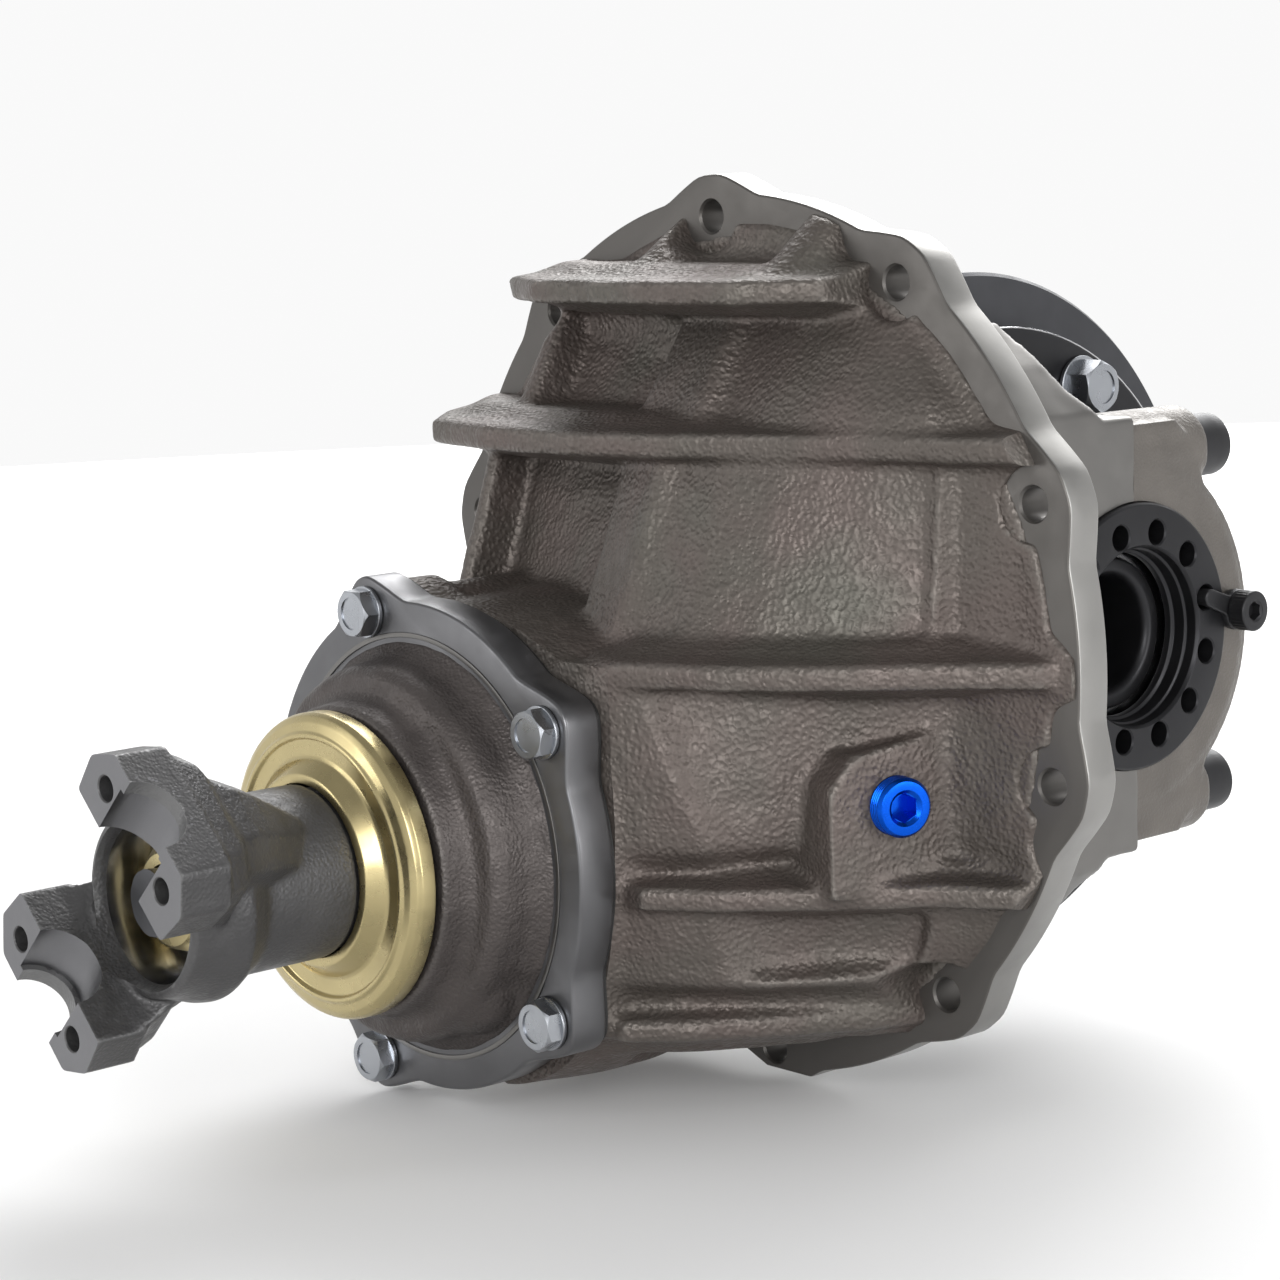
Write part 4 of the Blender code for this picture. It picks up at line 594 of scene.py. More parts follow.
# Walls between the fins: (x, y) along the front from left to right, at levels of z.
WALLS = (
    {   # above the top fin
        112: [(-74, -9), (-62, -22), (-40, -27), (-10, -30), (20, -30), (42, -26), (58, -17), (66, -9)],
        124: [(-56, -9), (-44, -13), (-30, -15), (-8, -16), (16, -16), (34, -15), (46, -13), (54, -9)],
        134: [(-34, -9), (-26, -12.8), (-16, -12.8), (-6, -12.8), (8, -12.8), (16, -12.8), (26, -12.8),
              (34, -9)],
    },
    {   # two pockets beside a slanting rib, then the dome over the ring gear
        112: [(-76, -9), (-75, -11), (-74, -12), (-73, -16), (-67, -17), (-65, -8), (-18, -7), (-14, -16),
              (12, -18), (17, -14), (34, -16), (50, -16), (67, -14), (72, -9)],
        104: [(-85, -9), (-83, -11), (-80, -13), (-78.5, -22), (-71.5, -23), (-69, -10), (-18, -9),
              (-14, -22), (13, -25), (18, -19), (38, -21), (58, -20), (76, -15), (82, -9)],
        90: [(-99, -9), (-92, -12), (-84, -17), (-77.5, -32), (-70.5, -33), (-67, -18), (-19, -16),
             (-15, -31), (14, -36), (20, -29), (42, -31), (66, -28), (88, -20), (94, -9)],
        76: [(-110, -9), (-100, -12), (-86, -20), (-76, -41), (-69, -42), (-65.5, -27), (-20, -25),
             (-16, -40), (16, -45), (22, -38), (44, -39), (70, -35), (97, -26), (108, -9)],
        64: [(-118, -9), (-104, -13), (-88, -23), (-75, -49), (-68, -50), (-64, -35), (-20, -32),
             (-16, -47), (18, -52), (24, -45), (46, -43), (72, -37), (101, -24), (118, -9)],
    },
    {   # pocket between two upright ribs, then the lower dome and a drip line before the flange
        66: [(-120, -9), (-108, -13), (-96, -19), (-88.5, -43), (-82.5, -44), (-80, -29), (-17, -32),
             (-12, -50), (12, -56), (18, -51), (34, -49), (52, -42), (70, -33), (84, -26), (94, -21),
             (97, -23), (100, -18), (114, -14), (119, -9)],
        35: [(-130, -9), (-112, -13), (-98, -23), (-89.5, -53), (-83.5, -54), (-81, -38), (-19, -46),
             (-14, -60), (10, -66), (17, -62), (34, -60), (52, -52), (70, -41), (84, -31), (94, -23),
             (97, -25.5), (100, -19), (122, -14), (129, -9)],
        12: [(-133, -9), (-114, -13), (-100, -27), (-90, -61), (-84, -62), (-81, -45), (-21, -58),
             (-16, -68), (6, -73), (14, -70), (34, -69), (54, -59), (72, -46), (84, -36), (94, -26),
             (97, -28), (100, -20), (124, -14), (133, -9)],
        0: [(-133, -9), (-114, -13), (-100, -28), (-90, -62), (-84, -63), (-81, -48), (-22, -62),
            (-17, -72), (6, -77), (14, -76), (34, -74), (54, -62), (72, -48), (84, -37), (94, -26),
            (97, -27), (100, -20), (124, -14), (133, -9)],
    },
    {   # barrel side, a slanting crease and a recess that runs back to the flange
        3: [(-20, -97), (14, -97), (27, -94.6), (33, -90), (37, -81), (52, -67), (66, -54), (80, -41),
            (93, -27), (98, -22), (101, -19), (131, -14), (134, -9)],
        -10: [(-20, -97), (14, -97), (27, -94.6), (37, -88), (40, -80), (54, -67), (67, -54), (81, -40),
              (93, -27), (98, -22), (101, -19), (131, -14), (134, -9)],
        -30: [(-20, -97), (14, -97), (25, -95), (44, -85), (47, -77), (57, -66), (68, -53), (81, -39),
              (93, -25), (98, -20), (101, -18), (129, -14), (132, -9)],
        -52: [(-20, -97), (14, -97), (25, -95), (50, -78), (53, -71), (60, -63), (70, -51), (81, -38),
              (93, -24), (97, -20), (100, -18), (122, -14), (127, -9)],
        -57: [(-20, -97), (14, -96), (24, -93), (47, -76), (52, -68), (59, -59), (69, -47), (79, -34),
              (90, -22), (95, -19), (98, -17), (119, -14), (124, -9)],
        -68: [(-20, -97), (10, -93), (20, -89), (42, -70), (48, -62), (56, -52), (65, -41), (75, -30),
              (85, -20), (91, -18), (96, -17), (114, -14), (118, -9)],
    },
    {   # lower barrel side with a round-cornered pocket
        -66: [(-20, -97), (10, -97), (22, -94.6), (38, -87), (51, -77), (55, -64), (66, -49), (78, -36),
              (89, -25), (94, -27), (99, -20), (113, -14), (118, -9)],
        -80: [(-20, -97), (10, -97), (21, -94), (38, -85), (51, -75), (55, -61), (65, -46), (76, -33),
              (87, -22), (92, -25), (97, -19), (107, -14), (112, -9)],
        -91: [(-20, -97), (8, -96), (19, -93), (36, -84), (52, -72), (57, -58), (64, -45), (74, -33),
              (83, -23), (88, -24), (91, -19), (98, -14), (103, -9)],
        -96.5: [(-20, -97), (6, -95.5), (18, -93), (35, -83), (52, -71), (60, -63), (68, -51), (77, -38),
                (84, -27), (86, -23), (89, -18), (94, -14), (98, -9)],
        -102: [(-20, -97), (4, -94.5), (15, -90), (31, -76), (47, -60), (55, -51), (63, -42), (72, -31),
               (79, -24), (82, -20), (84, -17), (88, -14), (92, -9)],
        -112: [(-20, -96), (2, -93), (13, -90), (28, -78), (42, -62), (50, -52), (58, -40), (65, -28),
               (70, -20), (72, -17), (74, -15), (77, -13), (80, -9)],
        -124: [(-20, -92), (-4, -88), (6, -84), (18, -72), (30, -56), (37, -45), (44, -33), (48, -22),
               (50, -16), (52, -14), (53, -13), (54, -12), (55, -9)],
    },
)

FINS = (
    # bottom z, top z, (x, y) outline along the free edge, left to right
    (110.0, 117.2, [(-102, -8), (-88, -36), (-50, -56), (0, -58), (38, -53), (58, -36), (74, -20),
                    (80, -8)]),
    (63.0, 70.8, [(-128, -8), (-122, -37), (-96, -63), (-60, -71), (-18, -71), (16, -63), (48, -47),
                  (78, -35), (108, -27), (134, -19), (136, -8)]),
    (-2.6, 5.0, [(-10, -60), (14, -91), (30, -94), (56, -83), (84, -64), (112, -37), (134, -20),
                 (139, -8)]),
    (-70.8, -63.8, [(0, -60), (22, -91), (38, -94), (58, -80), (80, -58), (104, -32), (124, -20),
                    (128, -8)]),
    (-115.2, -108.2, [(-10, -50), (6, -92), (24, -92), (38, -79), (54, -57), (72, -29), (80, -8)]),
)

GUSSETS = (
    # (x, y, z) of the ridge from fin to flange, and its half width
    ((-19, -52, 113), (-19, -14, 138), 8.0),
    ((41, -48, 113), (41, -14, 139), 7.5),
)

# Hollow behind the flange: at each y, the scale of the barrel's widest outline about a middle
WELL = ((2, 0.88), (-8, 0.80), (-22, 0.62), (-34, 0.40))
WELL_MIDDLE = Vector((-20, -20))
WELL_HALF_WIDTH = 70.4


def spline(points, position):
    """Catmull-Rom value at a position counted in points, held at the ends."""
    last = len(points) - 1
    i = min(int(position), last - 1)
    t = position - i
    a, b, c, d = (Vector(points[min(max(i + k, 0), last)]) for k in (-1, 0, 1, 2))
    curve = (2 * a - 5 * b + 4 * c - d) * t * t + (3 * b - 3 * c + d - a) * t ** 3
    return 0.5 * (2 * b + (c - a) * t + curve)


def barrel_rows():
    """Rings of the barrel's outer surface, smooth both round it and from front to back."""
    between, along = 4, 6      # steps from one outline to the next, and from one point to the next
    depths = sorted(BARREL, reverse=True)
    columns = [[(y, *BARREL[y][i]) for y in depths] for i in range(len(BARREL[-10]))]
    rows = []
    for step in range((len(depths) - 1) * between + 1):
        ring = [spline(column, step / between) for column in columns]
        looped = ring[-2:] + ring + ring[:3]
        row = []
        for i in range(len(ring) * along):
            spot = spline(looped, 2 + i / along)
            row.append(point(spot.y, spot.x, spot.z))
        rows.append(row)
    return rows


def wall(levels):
    """Solid behind a wall, lofted through its levels."""
    heights = sorted(levels)
    columns = [[(*levels[z][i], z) for z in heights] for i in range(len(levels[heights[0]]))]
    rows = []
    for step in range((len(heights) - 1) * 3 + 1):
        line = [spline(column, step / 3) for column in columns]
        base = [(line[-1].x, -3, line[-1].z), (line[0].x, -3, line[0].z)]
        rows.append([point(*spot) for spot in line + base])
    return skin("wall", rows)


def fin(low, high, free_edge):
    """Fin with a fillet where its faces meet the wall."""
    levels = ((low - 4.5, 22), (low - 1.2, 12), (low, 0), (high, 0), (high + 1.2, 12), (high + 4.5, 22))
    return skin("fin", [[point(x, min(y + back, -5), height) for x, y in free_edge]
                        for height, back in levels])


def gusset(start, end, half):
    """Round-topped web that runs from a fin up to the flange."""
    start, end = Vector(start), Vector(end)
    rows = []
    for spot in (start, end):
        ring = [(spot.x - half * 1.5, -6, spot.z - 12)]
        for i in range(7):
            turn = math.pi * i / 6
            ring.append((spot.x - half * math.cos(turn), spot.y + half * (1 - math.sin(turn)), spot.z - 2))
        ring.append((spot.x + half * 1.5, -6, spot.z - 12))
        rows.append([point(*at) for at in ring])
    return skin("gusset", rows)


def axle_drum(profile):
    """Solid turned about the axle axis. Heights of the profile are values of x."""
    return lathe("axle_drum", profile, AXLE_PLACE, 0)


def pinion_drum(profile, edge=0.0):
    """Solid turned about the pinion axis. Heights of the profile are values of y."""
    return lathe("pinion_drum", profile, PINION_PLACE, edge)


def cylinder(radius, low, high, at, axis):
    """Cutter for a plain hole; its ends are measured from a point, along an axis."""
    return lathe("hole", bar(radius, high, low), place(at, axis), 0, 40)


def facing_plate(outline, low, high, edge=0.0, name="plate"):
    """(x, z) outline between two values of y."""
    return prism(name, outline, low, high, FACING_Y, edge)


def slab(low, high):
    """Everything between two values of y."""
    return facing_plate([(-200, -200), (200, -200), (200, 200), (-200, 200)], low, high)


def side_plate(outline, low, high):
    """(y, z) outline between two values of x."""
    return prism("side_plate", outline, low, high, FACING_X)


def support_outline(base_less=0.0, lobe_less=0.0):
    return lobed(SUPPORT_RADIUS - base_less, SUPPORT_BOLT_CIRCLE, SUPPORT_LOBE - lobe_less, SUPPORT_BOLTS,
                 SUPPORT_FIRST_BOLT, (PINION_X, PINION_Z), blend=12)


def flange_holes():
    return [clock(FLANGE_BOLT_CIRCLE, FLANGE_FIRST_HOLE + 360 / FLANGE_HOLES * i)
            for i in range(FLANGE_HOLES)]


def support_holes():
    return [clock(SUPPORT_BOLT_CIRCLE, SUPPORT_FIRST_BOLT + 360 / SUPPORT_BOLTS * i, (PINION_X, PINION_Z))
            for i in range(SUPPORT_BOLTS)]


def pedestals():
    """Bearing stands, each with webs that spread out towards the flange."""
    upper = [(-6, 112), (31, 101), (35, 91), (39, 80), (48, PEDESTAL_HALF_Z), (AXLE_Y + 2, PEDESTAL_HALF_Z)]
    outline = upper + [(y, -z) for y, z in reversed(upper)]
    solids = []
    for side in (-1, 1):
        low, high = sorted((side * PEDESTAL_IN, side * PEDESTAL_OUT))
        stand = side_plate(outline, low, high)
        solids.append(carve(stand, cylinder(REGISTER_RADIUS, -10, 85, (0, 0, 0), "Y"), operation="INTERSECT"))
    return solids


def front_solids():
    """Everything of the casting in front of the flange."""
    solids = [skin("barrel", barrel_rows())]
    solids += [wall(levels) for levels in WALLS]
    solids += [fin(*shape) for shape in FINS]
    solids += [gusset(*shape) for shape in GUSSETS]
    solids.append(facing_plate(casting_outline(), -FLANGE_THICK - 1.6, -4, 1))
    solids.append(facing_plate(support_outline(2.5, 2.0), PAD_Y - 3, -80))
    for x, z in support_holes():
        root = Vector((x - PINION_X, z - PINION_Z))
        root = root * (1 - 4 / root.length)
        where = place((PINION_X + root.x, 0, PINION_Z + root.y), "Y")
        solids.append(lathe("root", bar(SUPPORT_LOBE - 2.5, -43.7, -82), where, 3, 32))
    solids.append(pinion_drum(bar(60, -38.3, PAD_Y - 3)))
    solids.append(skin("boss", [[point(*spot) for spot in row] for row in (
        ((50, -16, -67), (57, -52, -67), (86, -60, -67), (99, -12, -67)),
        ((56, -16, -33), (61, -50, -33), (86, -60, -33), (99, -12, -33)),
        ((62, -16, -25), (70, -48, -25), (88, -52, -23), (99, -12, -16)))]))
    return solids


def casting_outline():
    """Where the rough casting ends on the flange, with a tongue out to the rim at each long fin."""
    outline = []
    for i in range(180):
        reach = CASTING_RADIUS
        for z in (68, 1, -67):
            for side in (1, -1):
                x = side * math.sqrt(TONGUE_AT ** 2 - z ** 2)
                off = math.atan2(x, z) - TAU * i / 180
                off = abs((off + math.pi) % TAU - math.pi) * TONGUE_AT
                if off < TONGUE_HALF:
                    reach = max(reach, CASTING_RADIUS + TONGUE_LENGTH * min(1, 2 * (1 - off / TONGUE_HALF)))
        outline.append(clock(reach, 2 * i))
    return outline


def casting():
    """Rough gear case, with the machined faces that other pieces sit on."""
    body = cast("gear_case_body", front_solids())
    scallops = [cylinder(SCALLOP_RADIUS, -70, -7.9, (x, 0, z), "Y") for x, z in flange_holes()]
    body = cast("gear_case_body", [carve(body, *scallops)], rounds=9)
    pilot = [pinion_drum(bar(29, 22, -14)),
             side_plate([(-10, -110), (20, -110), (20, -80), (-10, -80)], -56, -45),
             side_plate([(2, -68), (20, -68), (20, -53), (2, -53)], -100, -70),
             facing_plate(lobed(FLANGE_RADIUS - 14, FLANGE_BOLT_CIRCLE, 1, FLANGE_HOLES, 0), -14, -2)]
    rear = cast("rear", pilot + pedestals(), rounds=4)
    body = carve(body, rear, operation="UNION")
    rooms = [
        skin("well", well_rows()),
        axle_drum([(0, 60), (98, 60), (98, 48), (119, 38), (119, -24), (0, -24)]),
        axle_drum([(0, 70.5), (66, 70.5), (66, -24), (52, -24), (52, -70.5), (0, -70.5)]),
        pinion_drum([(0, 6), (48, 6), (51.3, -44), (51.3, -60), (0, -60)]),
        pinion_drum(bar(SPIGOT_RADIUS + GAP, -40, -120)),
        pinion_drum(bar(PILOT_BORE, 30, 0)),
        axle_drum(bar(SADDLE_RADIUS, 110, -110)),
        slab(AXLE_Y, 200),
        slab(-200, PAD_Y),
    ]
    rooms += [cylinder(FLANGE_HOLE + 1.6, -60, 15, (x, 0, z), "Y") for x, z in flange_holes()]
    spot = lathe("spotface", [(0, 30), (PLUG_RADIUS + 2.6, 30), (PLUG_RADIUS + 2.6, 0.7), (PLUG_RADIUS, 0.7),
                              (PLUG_RADIUS, -16), (0, -16)], plug_frame(), 0)
    body = carve(body, *rooms, spot)
    carve(body, cylinder(RIM_INNER, -200, 205, (0, 0, 0), "Y"), operation="INTERSECT")
    roughen(body, 0.35, 90)
    finish(body, "housing", "cast_iron", ["gear_case"], CAST_IRON, MACHINED)
    paint(body, 1, lambda at, normal: at.y > 1 and (abs(at.x) > PEDESTAL_OUT - 0.8 or abs(at.y - AXLE_Y) < 0.6
                                                    or at.x ** 2 + at.z ** 2 > (REGISTER_RADIUS - 1.2) ** 2
                                                    or abs(abs(at.z) - PEDESTAL_HALF_Z) < 1
                                                    or math.hypot(at.y - AXLE_Y, at.z) < SADDLE_RADIUS + 0.8))


def well_rows():
    """Hollow behind the flange, between the bearing stands."""
    rows = []
    ring = [Vector(spot) for spot in BARREL[-10][-2:] + BARREL[-10] + BARREL[-10][:3]]
    for y, scale in WELL:
        row = []
        for i in range(len(BARREL[-10]) * 4):
            spot = WELL_MIDDLE + (spline(ring, 2 + i / 4) - WELL_MIDDLE) * scale
            row.append(point(max(-WELL_HALF_WIDTH, min(WELL_HALF_WIDTH, spot.x)), y, spot.y))
        rows.append(row)
    return rows


def flange():
    """Machined flange: a rim, a front land and ten countersunk stud holes."""
    outline = lobed(FLANGE_RADIUS, FLANGE_BOLT_CIRCLE, FLANGE_LOBE, FLANGE_HOLES, FLANGE_FIRST_HOLE,
                    top=FLANGE_LOBE_TOP)
    item = settle(facing_plate(outline, -FLANGE_THICK, 0, 0.9, "gear_case_flange"))
    hole = [(0, 20), (FLANGE_HOLE + 0.8, 20), (FLANGE_HOLE + 0.8, FLANGE_THICK + 0.2),
            (FLANGE_HOLE, FLANGE_THICK - 0.8), (FLANGE_HOLE, -5), (0, -5)]
    holes = [lathe("hole", hole, place((x, 0, z), "-Y"), 0, 40) for x, z in flange_holes()]
    mouth = skin("mouth", [[point(spot.x / MM, y, spot.z / MM) for spot in well_rows()[0]] for y in (-20, 5)])
    carve(item, mouth, facing_plate(FLANGE_FOOT, -20, 5), *holes)
    finish(item, "housing", "cast_iron", ["gear_case"], RIM, LAND)
    paint(item, 1, lambda at, normal: normal.y < -0.7 or min(
        math.hypot(at.x - x, at.z - z) for x, z in flange_holes()) < FLANGE_HOLE + 1.5)


def plug_frame():
    return Matrix.Translation(point(*PLUG_AT)) @ Matrix.Rotation(math.radians(PLUG_YAW), 4, "Z") @ TURN["X"]


def fill_plug():
    """Blue plug: a threaded rim, a rounded crown and a hexagon socket."""
    pitch, turns = 1.05, 5
    thread = []
    for i in range(turns):
        top = 4.0 - pitch * i
        thread += [(PLUG_RADIUS, top), (PLUG_RADIUS, top - pitch * 0.4),
                   (PLUG_RADIUS - 0.55, top - pitch * 0.7)]
    profile = [(0, 5.2), (PLUG_RADIUS - 1.0, 5.2), *thread, (PLUG_RADIUS - 0.6, -11), (0, -11)]
    plug = settle(lathe("fill_plug_blue", profile, plug_frame(), 0.15))
    socket = prism("socket", hexagon(8.2), -1.5, 8, plug_frame())
    mouth = lathe("mouth", [(0, 8), (5.6, 8), (5.6, 5.1), (4.4, 4.1), (0, 4.1)], plug_frame(), 0)
    carve(plug, socket, mouth)
    finish(plug, "housing", "blue_anodised_aluminium", ["fill_plug"], BLUE)


# ---------------------------------------------------------------- pinion support
def support():
    """Machined flange of the pinion support, and its cast nose."""
    plate = settle(facing_plate(support_outline(), SUPPORT_FRONT_Y, PAD_Y - 1.6, 1.1,
                                "pinion_support_flange"))
    holes = [cylinder(5.6, -120, -75, (x, 0, z), "Y") for x, z in support_holes()]
    carve(plate, pinion_drum(bar(SUPPORT_BORE, -60, -150)), *holes)
    recentre(plate, place((PINION_X, 0, PINION_Z), "-Y"))
    spigot = lathe("pinion_support_spigot", bar(SPIGOT_RADIUS, -50.5, -100, SUPPORT_BORE), PINION_PLACE, 1)
    body = pinion_drum([(0, -100), (67, -100), (66.5, -109), (63.5, -112), (61.5, -115), (61, -119),
                        (60.5, -124), (58, -127.6), (52.5, -128.6), (50.5, -131), (49.5, -139),
                        (0, -139)], 0.8)
    x, z = clock(40, 140, (PINION_X, PINION_Z))
    lump = lathe("lump", [(0, -100), (26, -100), (24.5, -118), (20, -125), (12, -130), (0, -130.5)],
                 place((x, 0, z), "Y"), 4)
    foot = pinion_drum([(0, -100), (67.5, -100), (66.5, -109.8), (63, -111.4), (0, -111.4)], 1)
    nose = cast("pinion_support_nose", [body, lump, foot], 1.0, 7)
    carve(nose, pinion_drum([(0, -90), (41, -90), (41, -129), (36.2, -129), (36.2, -150), (0, -150)]))
    roughen(nose, 0.3, 120)
    step = lathe("pinion_support_step", [(69.2, -109.2), (69.2, -110.1), (67.6, -110.1), (67.6, -109.2)],
                 PINION_PLACE, 0.2)
    for item, made in ((plate, SUPPORT_FACE), (spigot, SUPPORT_FACE), (nose, NOSE_IRON), (step, MACHINED)):
        finish(item, "housing", "cast_iron", ["pinion_support"], made)


def seal_line():
    """Black sealing ring that shows in the joint between support and case."""
    item = settle(facing_plate(support_outline(1.2, 1.0), PAD_Y - 1.3, PAD_Y - 0.3, name="support_joint"))
    carve(item, facing_plate(support_outline(12, 11), PAD_Y - 5, PAD_Y + 5))
    finish(item, "housing", "black_rubber", ["support_seal_ring", "pinion_depth_shim"], RUBBER)


def hex_bolt(name, across_flats, head, washer, shank, length, where):
    """Hexagon head with turned corners, a washer face and a plain shank; its seat is at local Z = 0."""
    corner = across_flats / math.sqrt(3)
    item = settle(prism(name, hexagon(across_flats), 0.9, head, where))
    slope = lathe("slope", [(0, head), (across_flats / 2 - 0.1, head), (corner + 0.1, head - corner * 0.13),
                            (corner + 3, head - corner * 0.13), (corner + 3, 0), (0, 0)], where, 0)
    carve(item, slope, operation="INTERSECT")
    cup = lathe("cup", [(0, head + 3), (across_flats * 0.38, head + 3), (across_flats * 0.36, head - 0.5),
                        (0, head - 0.5)], where, 0)
    seat = lathe("seat", [(0, 1.5), (washer, 1.5), (washer, 0), (shank, 0), (shank, -length), (0, -length)],
                 where, 0.3, 48)
    carve(item, cup)
    return carve(item, seat, operation="UNION")


def support_bolts():
    for i, (x, z) in enumerate(support_holes()):
        where = place((x, SUPPORT_FRONT_Y - GAP, z), "-Y") @ Matrix.Rotation(math.radians(17 * i), 4, "Z")
        bolt = hex_bolt(f"support_bolt_{i + 1}_zinc", 14.3, 6.6, 8.4, 4.7, 24, where)
        finish(bolt, "housing", "bright_zinc_steel", [f"pinion_support_bolt_{i + 1}"], ZINC)


# ---------------------------------------------------------------- caps, adjusters and locks
def bearing_cap(side, hand):
    """Cast bearing cap: a saddle with a tube round each bolt and a raised ring round the adjuster."""
    low, high = sorted((side * PEDESTAL_IN, side * PEDESTAL_OUT))
    half = PEDESTAL_HALF_Z
    arc = [on_axle(CAP_BACK_RADIUS - 1.5, 90 - a) for a in range(40, 141, 4)]
    outline = [(AXLE_Y - 3, half - 3), (86, half - 3), (93, 60), *arc, (93, -60), (86, 3 - half),
               (AXLE_Y - 3, 3 - half)]
    bolts = [(side * CAP_BOLT_X, 0, z) for z in (-CAP_BOLT_Z, CAP_BOLT_Z)]
    tube = [(0, CAP_SEAT_Y + 0.8), (14, CAP_SEAT_Y + 0.8), (14.3, AXLE_Y - 3), (0, AXLE_Y - 3)]
    ring = lathe("ring", [(0, PEDESTAL_OUT - 0.5), (55.5, PEDESTAL_OUT - 0.5), (58.7, PEDESTAL_OUT - 5),
                          (58.7, PEDESTAL_IN + 3), (56, PEDESTAL_IN), (0, PEDESTAL_IN)],
                 place((0, AXLE_Y, 0), OUTWARDS[side]), 2)
    solids = [side_plate(outline, low + 0.4, high - 1.6)]
    solids += [lathe("tube", tube, place(at, "Y"), 1, 48) for at in bolts]
    solids.append(carve(settle(ring), slab(AXLE_Y - 3, 200), operation="INTERSECT"))
    item = cast(f"bearing_cap_{hand}_cast", solids, 1.0, 6)
    box = side_plate([(0, -half), (200, -half), (200, half), (0, half)], low, high)
    seats = [cylinder(13.0, CAP_SEAT_Y, 113, at, "Y") for at in bolts]
    holes = [cylinder(6.6, 40, 135, at, "Y") for at in bolts]
    carve(item, box, operation="INTERSECT")
    carve(item, axle_drum(bar(SADDLE_RADIUS, 130, -130)), slab(0, AXLE_Y + GAP), *seats, *holes)
    finish(item, "housing", "cast_iron", [f"bearing_cap_{hand}"], CAP_IRON, MACHINED)
    paint(item, 1, lambda at, normal: math.hypot(at.y - AXLE_Y, at.z) < SADDLE_RADIUS + 0.1
          or abs(at.y - AXLE_Y - GAP) < 0.05 or (abs(at.y - CAP_SEAT_Y) < 0.05 and abs(at.z) > 40))


def socket_screw(name, radius, head, socket, shank, length, where, knurls=0):
    """Cylinder-headed screw with a hexagon socket and, if asked, a knurled rim."""
    def knurl(reach, height, turn):
        deep = knurls and reach > radius - 0.9 and 0.8 < height < head - 1.2
        return -0.22 * (0.5 + 0.5 * math.cos(knurls * turn)) if deep else 0

    profile = [(0, head), (radius, head), (radius, head * 0.66), (radius, head * 0.33), (radius, 0),
               (shank, 0), (shank, -length), (0, -length)]
    item = settle(lathe(name, profile, where, 0.7, 144 if knurls else FINE, knurl))
    hollow = prism("socket", hexagon(socket), head * 0.45, head + 3, where)
    mouth = lathe("mouth", [(0, head + 2), (socket * 0.66, head + 2), (socket * 0.66, head - 0.1),
                            (socket * 0.5, head - 0.7), (0, head - 0.7)], where, 0)
    return carve(item, hollow, mouth)


def cap_bolts(side, hand):
    for z, level in ((CAP_BOLT_Z, "upper"), (-CAP_BOLT_Z, "lower")):
        where = place((side * CAP_BOLT_X, CAP_SEAT_Y + GAP, z), "Y")
        bolt = socket_screw(f"cap_bolt_{hand}_{level}_black", 10.2, 16.2, 10, 6, 60, where)
        finish(bolt, "housing", "black_oxide_steel", [f"cap_bolt_{hand}_{level}"], BLACK_SCREW)


def adjuster(side, hand):
    """Screwed ring with twelve spanner holes and a stepped bore."""
    where = place((0, AXLE_Y, 0), OUTWARDS[side])
    low, high = ADJUSTER_OUT - ADJUSTER_THICK, ADJUSTER_OUT
    rim = SADDLE_RADIUS - GAP
    item = settle(lathe(f"adjuster_{hand}_black", [
        (rim - 0.8, high), (rim, high - 0.8), (rim, low), (ADJUSTER_BORE - 1.2, low),
        (ADJUSTER_BORE - 1.2, low + 2.4), (ADJUSTER_BORE, low + 3.0), (ADJUSTER_BORE, low + 7),
        (ADJUSTER_BORE + 0.9, low + 7.4), (ADJUSTER_BORE + 0.9, high - 1.2), (ADJUSTER_BORE + 1.8, high)],
        where, 0.25, 144))
    hole = [(0, high + 3), (SPANNER_HOLE + 0.5, high + 3), (SPANNER_HOLE + 0.5, high),
            (SPANNER_HOLE, high - 0.5), (SPANNER_HOLE, low + 3.5), (0, low + 2)]
    centres = [on_axle(SPANNER_CIRCLE, SPANNER_FIRST + 360 / SPANNER_HOLES * i) for i in range(SPANNER_HOLES)]
    carve(item, *[lathe("hole", hole, place((0, y, z), OUTWARDS[side]), 0, 40) for y, z in centres])
    recentre(item, where)
    finish(item, "housing", "black_oxide_steel", [f"adjuster_{hand}"], BLACK)


